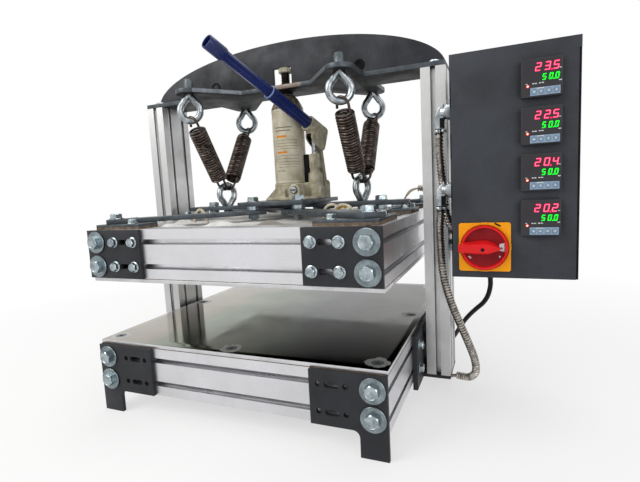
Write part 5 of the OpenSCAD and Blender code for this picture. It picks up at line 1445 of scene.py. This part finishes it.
# %% Tank, cap and release valve
tank_form = [
    (0, 29), (0.3, 31.3), (1.2, 31.5), (3.5, 31.5), (4.2, 31.1), (5, 31.0), (6, 31.35), (60, 31.35),
    (134, 31.35), (135.4, 31.0), (136.4, 31.0), (137, 31.5), (140.2, 31.5), (141, 31.0), (141, 29),
]
tank = piece(
    "jack_tank_shell", *turned(tank_form, at(RAM_X, 0, 380), UP, 96), jack_beige_and_boss_highlight, "platen", "jack_paint"
)
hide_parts("jack_tank")
cap_form = [
    (0, 29.6), (0.1, 31.2), (4.4, 30.8), (5.2, 30.2), (5.6, 29.6), (9, 28.6), (13.5, 26.2), (17, 24.0),
    (20, 22.6), (23.5, 19.2), (26, 16.6), (28.6, 16), (29, 15.4), (29, 13.2),
]
cap = piece("jack_cap_dome", *turned(cap_form, at(RAM_X, 0, 521), UP, 72), cap_grime_and_boss_shade, "platen", "jack_paint")
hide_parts("jack_cap_nut")
knob_form = [(-9.9, 3.9), (0, 3.9), (0.4, 6.2), (0.8, 6.8), (4.0, 6.8), (4.8, 6.0), (4.8, 0.5)]
valve = eased(*turned(knob_form, at(32, -48.2, 366.5), FRONT, 28), 0.15)
# The slot is a black bar on the knob's face, painted shade.
slot_shade = block((25.8, -53.2, 365.5), (38.2, -52.6, 367.5), 0.1)
valve_head = joined(
    "release_valve_screw", [(*valve, 0), (*slot_shade, 1)], [bright_pin, black_shade_and_marks], "release_valve",
    "jack_steel"
)
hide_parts("release_valve")

# %% [markdown]
# The tank carries a printed panel of two orange bars and rules of several lengths. Each mark
# is a thin patch bent round the tank, a few hundredths of a millimetre proud, as screen-printed
# ink is.

# %% Printed panel on the tank
TANK_R = 31.35


def wrapped(first, last, low, high, lift=0.06):
    """A patch on the tank between two angles in degrees and two heights."""
    steps = max(2, int(abs(last - first) / 3))
    ring_points = []
    for s in range(steps + 1):
        angle = math.radians(first + (last - first) * s / steps)
        for radius, z in (
            (TANK_R - 0.1, low), (TANK_R + lift, low), (TANK_R + lift, high), (TANK_R - 0.1, high)
        ):
            ring_points.append(at(RAM_X + radius * math.cos(angle), radius * math.sin(angle), z))
    return ring_points, rings_to_faces(steps + 1, 4)


ORANGE_BARS = ((469, -111, -73), (439, -111, -73))
HEADINGS = ((486, -116, -52), (480, -116, -58))
RULES = (
    (462, -116, -30), (456, -114, -34), (451, -114, -28), (446, -114, -38), (433, -114, -26),
    (427, -112, -32), (421, -112, -27), (416, -112, -30), (411, -112, -42),
)
SIGNS = ((404, -112, -104), (404, -99, -92), (404, -90, -83))
print_parts = []
for marks, half, index in ((ORANGE_BARS, 1.9, 0), (RULES, 0.35, 1), (SIGNS, 0.7, 1), (HEADINGS, 0.9, 1)):
    print_parts += painted(index, *[wrapped(first, last, z - half, z + half) for z, first, last in marks])
joined("tank_print", print_parts, [orange_ink, dash_ink], "platen", "jack_paint")

# %% Pump body, hood and handle


def hex_turned(levels, foot, turn):
    """A hexagonal form on a vertical axis: (height, across flats, hexagon share) levels."""
    points = []
    for height, flats, share in levels:
        for k in range(HEX_SIDES):
            a = 2 * math.pi * k / HEX_SIDES
            reach = hexagon(share, a) * flats * MM
            points.append(
                foot + Vector((reach * math.cos(a + turn), reach * math.sin(a + turn), height * MM))
            )
    return points, rings_to_faces(len(levels), HEX_SIDES)


pump_levels = [
    (0, 21.5, 0), (2.5, 21.5, 0), (3.4, 19, 0), (8.5, 19, 0), (9.2, 19.4, 1), (34.5, 20, 1), (36, 18.5, 0),
    (36, 13, 0)
]
pump_form = hex_turned(pump_levels, at(PUMP_X, 0, 398), LEVER_TURN)
pump = piece("pump_hexagon", *pump_form, cast_beige, "platen", "jack_paint", math.radians(25))
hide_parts("pump_body")

HANDLE_WAY = Vector((-0.3061, -0.8410, 0.4462)).normalized()
MOUTH = at(51.53, -15.04, 492)


def hull(points):
    """The convex form round points."""
    work = bmesh.new()
    for point in points:
        work.verts.new(point)
    result = bmesh.ops.convex_hull(work, input=work.verts)
    loose = {v for v in result["geom_interior"] + result["geom_unused"] if isinstance(v, bmesh.types.BMVert)}
    bmesh.ops.delete(work, geom=list(loose), context="VERTS")
    return listed(work)


def disc(u, h, radius, half):
    """Points of a disc that stands across the lever."""
    return [
        lever(u + radius * math.cos(math.pi * k / 8), v, h + radius * math.sin(math.pi * k / 8))
        for k in range(16)
        for v in (-half, half)
    ]


def sleeve_ring(s, radius):
    """Points of a ring round the handle's line, s mm from the mouth towards the tip."""
    return turned([(s, radius), (s + 0.5, radius)], MOUTH, HANDLE_WAY, 24)[0]


hood_parts = [
    turned([(-46, 14.6), (-44, 15.2), (-1, 15.2), (0, 14.6)], MOUTH, HANDLE_WAY, 40),
    hull(
        sleeve_ring(-45.5, 14.8) + sleeve_ring(-14, 14.8)
        + disc(-14, 100, 8.6, 9.4) + disc(0, 111.5, 8.2, 9.4) + disc(6, 118, 8, 9.4)
    ),
]
hood_cut = slab(
    [(-30, 80), (26, 80), (26, 112), (12, 119), (-6, 120), (-24, 112), (-30, 100)], on_lever, -5.3, 5.3
)
hood = cast("pump_hood", hood_parts, 0.9, 4, cast_beige, "pump_lever", "jack_paint", hood_cut)
# Faces in the hood's cut are black, painted shade of the opening.
hood.data.materials.append(black_shade_and_marks)
for face in hood.data.polygons:
    from_cut = face.center - lever(0, 0, 100)
    if abs(from_cut.dot(ACROSS)) < 6 * MM and from_cut.dot(AHEAD) < 16 * MM and from_cut.z < 24 * MM:
        face.material_index = 1
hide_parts("pump_socket")
print("hood", len(hood.data.polygons), "faces")

# %% [markdown]
# The handle is two steel tubes in blue enamel. The lower one is pressed into long flutes, which
# grip the upper one, and its rim is a paler blue. Flutes are only a wave in the radius round the
# tube, faded out towards the rim.

# %% Pump handle
UPPER_R, JOINT_S, TIP_S, FLARE_LONG, FLARE_R = 9.5, 102, 237, 35, 11.5


def fluted(levels, foot, way, sides, flutes, depth):
    """Rings along a way, each with its own share of the flutes' depth."""
    points = []
    for along, radius, share in levels:
        ring_points, _ = turned([(along, radius)], foot, way, sides, flutes, depth * share)
        points += ring_points
    return points, rings_to_faces(len(levels), sides)


lower_levels = [
    (-39, 11.9, 0), (-4, 12, 0), (4, 12, 0.2), (14, 12, 1), (86, 12, 1), (95, 12, 0.3), (99, 12, 0),
    (101.2, 12, 0)
]
lower_levels += [(JOINT_S, 11.6, 0), (JOINT_S, 10.4, 0), (98, 10.2, 0)]
TUBE_END = TIP_S - FLARE_LONG
upper_levels = [(70, 9.3), (TUBE_END - 2, UPPER_R), (TUBE_END + 1, FLARE_R - 0.6), (TUBE_END + 3, FLARE_R)]
tip_levels = ((-1.2, 0), (-0.3, -0.5), (0, -1.2), (-0.6, -2.4), (-14, -2.6), (-14.2, 0.6 - FLARE_R))
upper_levels += [(TIP_S + s, FLARE_R + out) for s, out in tip_levels]
upper_flutes = [(s, r, 0.8 if r < UPPER_R + 0.2 and s < TUBE_END else 0) for s, r in upper_levels]
upper_flutes[1:1] = [(JOINT_S - 4, 9.4, 0.8), (JOINT_S + 6, UPPER_R, 1)]
rim_turns = ((-1.8, 12.08), (-0.2, 12.08), (0.35, 11.7), (0.35, 10.4), (-1.8, 10.3))
rim_levels = [(JOINT_S + s, radius) for s, radius in rim_turns]
lower_tube = fluted(lower_levels, MOUTH, HANDLE_WAY, 72, 6, 2.6)
upper_tube = fluted(upper_flutes, MOUTH, HANDLE_WAY, 60, 5, 1.2)
handle_parts = painted(0, lower_tube, upper_tube)
handle_parts += painted(1, turned(rim_levels, MOUTH, HANDLE_WAY, 40))
# A black disc at the bottom of the flared end's bore is painted shade.
tip_bore_shade = [(TIP_S - 13.9, FLARE_R - 2.8), (TIP_S - 13.4, FLARE_R - 2.8)]
handle_parts += painted(2, turned(tip_bore_shade, MOUTH, HANDLE_WAY, 32))
handle = joined("pump_handle", handle_parts, [blue_enamel, pale_rim_blue, black_shade_and_marks], "pump_lever", "blue_paint")
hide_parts("handle")

# %% [markdown]
# The extension screw has a real thread: the radius of each ring point depends on both its
# height and its angle, so that the crests climb by one pitch each time round. Its saddle is a
# domed cap with a knurled rim, and sits in the notch of the arch.

# %% Extension screw and saddle
SCREW_R, SCREW_LOW, SADDLE_Z, PITCH, THREAD_RINGS, THREAD_SIDES = 8.5, 522, 591.5, 3.2, 8, 32
thread_points = []
thread_count = int((SADDLE_Z - SCREW_LOW) / PITCH * THREAD_RINGS)
for r in range(thread_count + 1):
    height = SCREW_LOW + (SADDLE_Z - SCREW_LOW) * r / thread_count
    for k in range(THREAD_SIDES):
        phase = ((height - SCREW_LOW) / PITCH + k / THREAD_SIDES) % 1
        radius = SCREW_R - 1.2 * min(1, max(0, 2.6 * abs(phase - 0.5) - 0.25))
        a = 2 * math.pi * k / THREAD_SIDES
        thread_points.append(at(RAM_X + radius * math.cos(a), radius * math.sin(a), height))
saddle_form = [
    (0, 8.6), (0, 11.4), (1.2, 13), (7.4, 13), (8.2, 12.4), (8.9, 11.2), (9.1, 9.6), (8.7, 8.8), (9.6, 7.4),
    (10.1, 4), (10.2, 0.6)
]
screw_parts = painted(0, (thread_points, rings_to_faces(thread_count + 1, THREAD_SIDES)))
screw_parts += painted(1, turned(saddle_form, at(RAM_X, 0, SADDLE_Z), UP, 72, 18, 0.7))
screw = joined(
    "extension_screw_thread", screw_parts, [ram_steel, cast_beige], "extension_screw", "jack_steel"
)
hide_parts("extension_screw")

# %% [markdown]
# The control box is a folded steel tray with a flat panel on its front. Four narrow slits run
# down the panel's left edge, where the tray's tabs hook in, and a seam runs down its right. Black
# strips in the slits and in the seam are painted shade. The panel is one outline with holes,
# filled by Blender's own tessellator.

# %% Panel
PANEL_BACK, PANEL_FRONT = -140.75, -142.75
SLITS, SLIT_WIDE = ((468, 503), (398, 433), (328, 363), (264, 297)), 1.7
CONTROLLER_X, CONTROLLER_ZS, CONTROLLER_W, CONTROLLER_Y = 416.2, (469, 409, 349, 289), 48, -150.75
SWITCH_X, SWITCH_Z, SWITCH_W = 370.0, 273.0, 68.4

LAP_X, LAP_TOP = 483.2, 525
outline = [
    (LAP_X, BOX_LOW), (LAP_X, LAP_TOP), (BOX_RIGHT, LAP_TOP), (BOX_RIGHT, BOX_HIGH), (BOX_LEFT, BOX_HIGH)
]
for low, high in SLITS:
    outline += [(BOX_LEFT, high), (BOX_LEFT + SLIT_WIDE, high), (BOX_LEFT + SLIT_WIDE, low), (BOX_LEFT, low)]
outline += [(BOX_LEFT, BOX_LOW)]
holes = []
for z in CONTROLLER_ZS:
    holes.append(rounded_box(CONTROLLER_X + 1.6, z + 1.6, CONTROLLER_X + 46.4, z + 46.4, 1, 2))
holes.append(circle(SWITCH_X, SWITCH_Z, 12, 32))
panel_form = slab(outline, on_panel(0), -PANEL_BACK, -PANEL_FRONT, holes)
# The black strip in the seam and the black strips in the slits are painted shade.
panel_parts = [
    (*eased(*panel_form, 0.25, 2, 8), 0),
    (*block((LAP_X + 0.1, -141.7, BOX_LOW + 0.3), (486, -140.8, LAP_TOP - 0.1), 0.1), 1)
]
for low, high in SLITS:
    slit_shade = block((BOX_LEFT, -142.2, low + 0.05), (BOX_LEFT + SLIT_WIDE - 0.05, -140.8, high - 0.05), 0.1)
    panel_parts += painted(1, slit_shade)
panel = joined("control_panel_sheet", panel_parts, [box_grey, black_shade_and_marks], "frame", "box_paint")
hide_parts("control_panel")

# %% [markdown]
# Each controller is a 48 mm square bezel with a dark face. The upper row shows the measured
# temperature in red, the lower row the set one in green, in slanted seven-segment digits. A
# segment is a six-sided bar, and a narrower, paler bar on top of it stands for the brighter
# middle that the eye sees.

# %% Digits
SEGMENTS = {"0": "abcdef", "2": "abged", "3": "abgcd", "4": "fgbc", "5": "afgcd"}
SLANT = math.tan(math.radians(10))
INK_LIFT = 0.06


def segment_bars(wide, high, stroke):
    """The seven bars of a digit, as end points round its middle."""
    w, h, s = wide / 2 - stroke / 2, high / 2 - stroke / 2, stroke * 0.12
    return {
        "a": ((-w + s, h), (w - s, h)), "b": ((w, h - s), (w, s)), "c": ((w, -s), (w, -h + s)),
        "d": ((-w + s, -h), (w - s, -h)), "e": ((-w, -s), (-w, -h + s)), "f": ((-w, h - s), (-w, s)),
        "g": ((-w + s, 0), (w - s, 0)),
    }


def bar(start, end, stroke, x, z):
    """A six-sided bar between two points, slanted and moved to its place."""
    (x0, z0), (x1, z1) = start, end
    long = math.hypot(x1 - x0, z1 - z0)
    ux, uz = (x1 - x0) / long, (z1 - z0) / long
    half = stroke / 2
    shape = []
    for along, aside in (
        (-half * 0.75, 0), (0, half), (long, half), (long + half * 0.75, 0), (long, -half), (0, -half)
    ):
        px, pz = x0 + ux * along - uz * aside, z0 + uz * along + ux * aside
        shape.append((x + px + SLANT * pz, z + pz))
    return shape


def digits(text, centres, z, wide, high, stroke, lift, frame_stroke=None):
    """Slabs of all segments of a reading; a dot follows the digit it is written after."""
    made = []
    spots = iter(centres)
    for sign in text:
        if sign == ".":
            dot = circle(x + wide / 2 + 1.0, z - high / 2 + 0.4, 0.62 * stroke, 12)
            made.append(slab(dot, on_panel(CONTROLLER_Y), lift - 0.05, lift))
            continue
        x = next(spots)
        bars = segment_bars(wide, high, frame_stroke or stroke)
        for letter in SEGMENTS[sign]:
            made.append(slab(bar(*bars[letter], stroke, x, z), on_panel(CONTROLLER_Y), lift - 0.05, lift))
    return made


# %% Controllers and their keys
MARKS = (
    (44.2, 32.6, 2.4, 0.9), (43.6, 17.4, 3.2, 1.1), (13.2, 16.2, 2.3, 1.2), (16.2, 16.2, 2.5, 1.2),
    (21, 16.4, 2.4, 1.2), (24.1, 16.4, 2.6, 1.2), (5.4, 16.5, 2.4, 0.8),
)
READINGS = ("23.5", "22.5", "20.4", "20.2")
CORE_WIDE, HALO_WIDE = 0.6, 2.7
LAMP_RINGS = (
    ([(0, 2.4), (0.1, 2.4), (0.1, 0.4)], 6), ([(0, 1.8), (0.5, 1.7), (0.9, 1.3), (1.05, 0.3)], 4),
    ([(0.6, 1.15), (1.15, 1.1), (1.25, 0.3)], 7),
)
RED_AT, RED_Z, RED_SIZE = (20.2, 30.9, 40.8), 37.0, (6.9, 10.7, 1.7)
GREEN_AT, GREEN_Z, GREEN_SIZE = (27.2, 34.8, 41.9), 24.0, (4.4, 8.0, 1.25)
KEY_XS, KEY_Z, KEY_R, KEY_FRONT = (15.5, 23.6, 32.3, 40.8), 6.4, 2.9, -151.6
KEY_SKIRT = [(0, KEY_R + 0.5), (0.25, KEY_R + 0.35), (0.3, KEY_R)]
KEY_CAP = [(0.2, KEY_R - 0.1), (0.55, KEY_R - 0.5), (0.75, KEY_R - 1.3), (0.8, 0.4)]
SIGN_TURNS = (math.pi / 4, math.pi, -math.pi / 2, math.pi / 2)


def oblong(left, low, wide, high):
    """The corners of a rectangle."""
    return [(left, low), (left + wide, low), (left + wide, low + high), (left, low + high)]


for n, (z, reading) in enumerate(zip(CONTROLLER_ZS, READINGS), start=1):
    x = CONTROLLER_X
    front = rounded_box(x, z, x + CONTROLLER_W, z + CONTROLLER_W, 1.2, 3)
    pocket = oblong(x + 10.6, z + 1.4, 35, 10.3)
    pane = oblong(x + 2.45, z + 16.95, 43.1, 28.1)
    bezel = eased(*slab(front, on_panel(0), -PANEL_FRONT, -CONTROLLER_Y, [pocket, pane]), 0.45, 2, 30)
    case = block((x + 1.7, -142.75, z + 1.7), (x + 46.3, -72.8, z + 46.3), 0.6)
    parts = [(*bezel, 0), (*case, 0)]
    red_xs, plain_reading = [x + c for c in RED_AT], reading.replace(".", "")
    wide, high, stroke = RED_SIZE
    parts += painted(1, *digits(reading, red_xs, z + RED_Z, wide, high, stroke, 2 * INK_LIFT))
    for broad, lift, index in ((CORE_WIDE, 3 * INK_LIFT, 2), (HALO_WIDE, INK_LIFT, 6)):
        parts += painted(index, *digits(plain_reading, red_xs, z + RED_Z, wide, high, broad, lift, stroke))
    green_xs = [x + c for c in GREEN_AT]
    parts += painted(3, *digits("50.0", green_xs, z + GREEN_Z, *GREEN_SIZE, 2 * INK_LIFT))
    lamp_at = at(x + 7.9, CONTROLLER_Y, z + 13.9)
    for form, index in LAMP_RINGS:
        parts += painted(index, turned(form, lamp_at, FRONT, 24))
    for left, low, wide, high in MARKS:
        mark = oblong(x + left, z + low, wide, high)
        parts.append((*slab(mark, on_panel(CONTROLLER_Y), INK_LIFT - 0.1, INK_LIFT), 5))
    paints = [black_abs, lit_red, lit_core, lit_green, lit_lamp, white_ink, lit_halo, lit_spark]
    face = joined(f"controller_{n}", parts, paints, "frame", "black_plastic")
    if n == 1:
        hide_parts("controllers")
    keys = []
    for key_x, turn in zip(KEY_XS, SIGN_TURNS):
        foot_at = at(x + key_x, KEY_FRONT, z + KEY_Z)
        keys += painted(1, turned(KEY_SKIRT, foot_at, FRONT, 24))
        keys += painted(0, turned(KEY_CAP, foot_at, FRONT, 24))
        sign = circle(x + key_x, z + KEY_Z, 1.35, 4 if key_x == KEY_XS[0] else 3, turn)
        keys += painted(2, slab(sign, on_panel(KEY_FRONT), 0.7, 0.92))
    keys += painted(2, slab(oblong(x + 19, z + 10, 8, 0.9), on_panel(KEY_FRONT - 0.15), 0.0, 0.08))
    joined(f"controller_keys_{n}", keys, [key_blue, key_dark, white_ink], f"keypad_{n}", "keypad")

# %% [markdown]
# The main switch is a lockable rotary handle. A yellow plate with a raised collar is fixed to
# the panel, and a red dish turns in it with a grip across the middle. The grip is blunt on the
# left and pointed on the right, widest over the shaft, and narrower at its top than at its
# foot, as anything drawn out of a mould has to be.

# %% Main switch
PLATE_FRONT, COLLAR_R, DISH_R = 145.75, 33.6, 31.0
half = SWITCH_W / 2
plate_outline = rounded_box(SWITCH_X - half, SWITCH_Z - half, SWITCH_X + half, SWITCH_Z + half, 3.2)
plate_form = eased(
    *slab(plate_outline, on_panel(0), 142.75, PLATE_FRONT, [circle(SWITCH_X, SWITCH_Z, 11, 32)]), 0.6, 2, 1
)
collar_form = [
    (0, COLLAR_R + 1.2), (0.5, COLLAR_R + 0.5), (3.6, COLLAR_R + 0.3), (4.4, COLLAR_R - 0.2),
    (4.4, COLLAR_R - 1.2), (0.4, COLLAR_R - 1.5), (0.2, 12)
]
switch_parts = [(*plate_form, 0), (*turned(collar_form, at(SWITCH_X, -PLATE_FRONT, SWITCH_Z), FRONT, 72), 0)]
for angle, out, front, broad in (
    (61, COLLAR_R + 2.2, PLATE_FRONT + 0.4, 1.0), (93, COLLAR_R - 0.6, PLATE_FRONT + 3.05, 0.45)
):
    a = math.radians(angle)
    middle = (SWITCH_X + out * math.cos(a), SWITCH_Z + out * math.sin(a))
    long, wide = (-4.2 * math.sin(a), 4.2 * math.cos(a)), (broad * math.cos(a), broad * math.sin(a))
    dash = [
        (middle[0] + p * long[0] + q * wide[0], middle[1] + p * long[1] + q * wide[1])
        for p, q in ((-1, -1), (1, -1), (1, 1), (-1, 1))
    ]
    switch_parts.append((*slab(dash, on_panel(0), front - 0.1, front + 0.1), 1))
switch_plate = joined("switch_face", switch_parts, [yellow_abs, black_shade_and_marks], "frame", "yellow_plastic")
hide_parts("switch_plate")

dish_form = [
    (-20, 5), (0.2, 5), (0.4, DISH_R - 0.8), (1.0, DISH_R), (7.0, DISH_R), (8.0, DISH_R - 0.7),
    (8.2, DISH_R - 1.6), (7.8, DISH_R - 2.9), (6.4, DISH_R - 3.5), (2.6, DISH_R - 4.1),
    (2.4, DISH_R - 5.0), (2.4, 0.6),
]
PIVOT = at(SWITCH_X, -PLATE_FRONT - 0.3, SWITCH_Z)
DISH_FLOOR = 2.4
GRIP_STATIONS = (
    (-34, 6.4), (-33, 7.4), (-24, 8.0), (-11, 9.4), (-2, 10.2), (5, 9.6), (11.5, 7.5), (17, 4.5), (21.5, 1.2)
)


def on_dish(u, v, w):
    """Lift for a form on the dish, round its pivot; w counts outwards."""
    return PIVOT + Vector((u, -w, v)) * MM


GRIP_LEVELS = ((2.0, 1.0, 0.88), (8.6, 0.97, 0.94), (17.4, 0.74, 1.0), (19.5, 0.6, 0.99), (20.1, 0.42, 0.97))
grip_points = []
for height, share, reach in GRIP_LEVELS:
    edge = [(u * reach, w * share) for u, w in GRIP_STATIONS]
    grip_points += [on_dish(u, w, height) for u, w in edge + [(u, -w) for u, w in reversed(edge)]]
grip = (grip_points, rings_to_faces(len(GRIP_LEVELS), 2 * len(GRIP_STATIONS)))
# The lock hole is a black disc on the grip, painted shade.
lock_hole_shade = turned([(19.6, 2.6), (20.25, 2.5), (20.3, 2.2), (20.25, 0.4)], on_dish(-1.6, -1.2, 0), FRONT, 24)
window = slab([(19.5, -4.4), (26, -6.2), (26, 6.2), (19.5, 4.4)], on_dish, 2.3, 2.75)
zero = slab(circle(22.4, -1.2, 1.5, 20), on_dish, 2.7, 2.9)
knob_parts = [
    (*turned(dish_form, PIVOT, FRONT, 72), 0), (*grip, 0), (*lock_hole_shade, 1), (*window, 2), (*zero, 3)
]
for angle, wide in ((216, 2.6), (327, 1.4)):
    a, t = math.radians(angle), 0.035 * wide
    corners = ((a - t, 23.04), (a + t, 22.56), (a + t, 24.72), (a - t, 25.44))
    worn = [(out * math.cos(turn), out * math.sin(turn)) for turn, out in corners]
    knob_parts.append((*slab(worn, on_dish, 2.3, 2.6), 2))
knob = joined(
    "switch_handle", knob_parts, [red_abs, black_shade_and_marks, white_ink, key_dark], "switch_knob", "red_plastic"
)
# The dish's floor is a darker red, painted shade of the recess.
knob.data.materials.append(red_dish_shade)
for face in knob.data.polygons:
    on_dish_floor = abs((face.center - PIVOT).y + DISH_FLOOR * MM) < 0.3 * MM
    if face.material_index == 0 and face.normal.y < -0.9 and on_dish_floor:
        face.material_index = len(knob.data.materials) - 1
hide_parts("switch_knob")
print("control box made")

# %% [markdown]
# Plain studio light: one large soft lamp high on the front left, a wide weak one on the right,
# and one above. The world gives an even base light. Rays that go straight to the camera, or
# bounce off metal or glass, see a plain white surround, because bare aluminium is mostly a
# picture of what stands round it.

# %% World
AMBIENT = 0.42


def seen_white(tree):
    """1 for rays that go straight to the camera, or bounce off metal or glass."""
    rays = add(tree, "ShaderNodeLightPath").outputs
    straight = reckon(tree, "MAXIMUM", rays["Is Camera Ray"], rays["Is Glossy Ray"])
    return reckon(tree, "MAXIMUM", straight, rays["Is Transmission Ray"])


world = bpy.data.worlds.new("studio")
bpy.context.scene.world = world
world.use_nodes = True
sky = world.node_tree
sky.nodes.clear()
glow = add(
    sky, "ShaderNodeBackground",
    {"Color": linear("#FFFFFF"), "Strength": span(sky, seen_white(sky), to_low=AMBIENT)}
)
add(sky, "ShaderNodeOutputWorld", {"Surface": glow.outputs["Background"]})

# %% Lamps


def lamp(name, place, target, size, watts, tone):
    """A soft square lamp that faces a point."""
    light = bpy.data.lights.new(name, "AREA")
    light.shape, light.size, light.energy, light.color = "SQUARE", size, watts, linear(tone)[:3]
    holder = bpy.data.objects.new(name, light)
    bpy.context.scene.collection.objects.link(holder)
    aim = (Vector(target) - Vector(place)).to_track_quat("-Z", "Y")
    holder.matrix_world = Matrix.LocRotScale(Vector(place), aim, None)


lamp("key", (-1.3, -1.7, 1.7), (0, 0, 0.3), 1.5, 30, "#FFFDF8")
lamp("fill", (1.7, -1.5, 0.9), (0, 0, 0.3), 1.6, 12, "#F4F8FF")
lamp("top", (0.1, 0.2, 2.1), (0, 0, 0.3), 1.4, 12, "#FFFFFF")

# %% [markdown]
# The floor is pale and plain. Far from the press it glows towards the camera, so that it melts
# into the white background, and near the press it keeps the shadow.

# %% Floor
FLOOR, FLOOR_Z = 6.0, -0.0002
floor_mesh = bpy.data.meshes.new("studio_floor")
floor_corners = [(x * FLOOR, y * FLOOR, FLOOR_Z) for x, y in ((-1, -1), (1, -1), (1, 1), (-1, 1))]
floor_mesh.from_pydata(floor_corners, [], [(0, 1, 2, 3)])
floor = bpy.data.objects.new("studio_floor", floor_mesh)
bpy.context.scene.collection.objects.link(floor)
pale = finish("pale_floor", "#FAFAFA", "#F6F6F6", 0.9, patch=400, grain=3, bump=0.0)
pale_tree = pale.node_tree
pale_far = span(pale_tree, distance(pale_tree, own_place(pale_tree), PRESS_MIDDLE), 0.35, 1.3, 0.6, 1.0)
pale_share = reckon(pale_tree, "MULTIPLY", seen_white(pale_tree), pale_far)
pale_glow = add(pale_tree, "ShaderNodeEmission", {"Color": linear("#FFFFFF")}).outputs["Emission"]
pale_plain = pale_tree.nodes["Principled BSDF"].outputs["BSDF"]
pale_mix = add(pale_tree, "ShaderNodeMixShader", {0: pale_share, 1: pale_plain, 2: pale_glow})
pale_tree.links.new(pale_mix.outputs["Shader"], pale_tree.nodes["Material Output"].inputs["Surface"])
floor_mesh.materials.append(pale)
floor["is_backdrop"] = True

# %% View transform and size of the model
bpy.context.scene.view_settings.view_transform = "Standard"
low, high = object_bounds()
print("visual model", [round(b - a, 4) for a, b in zip(low, high)])
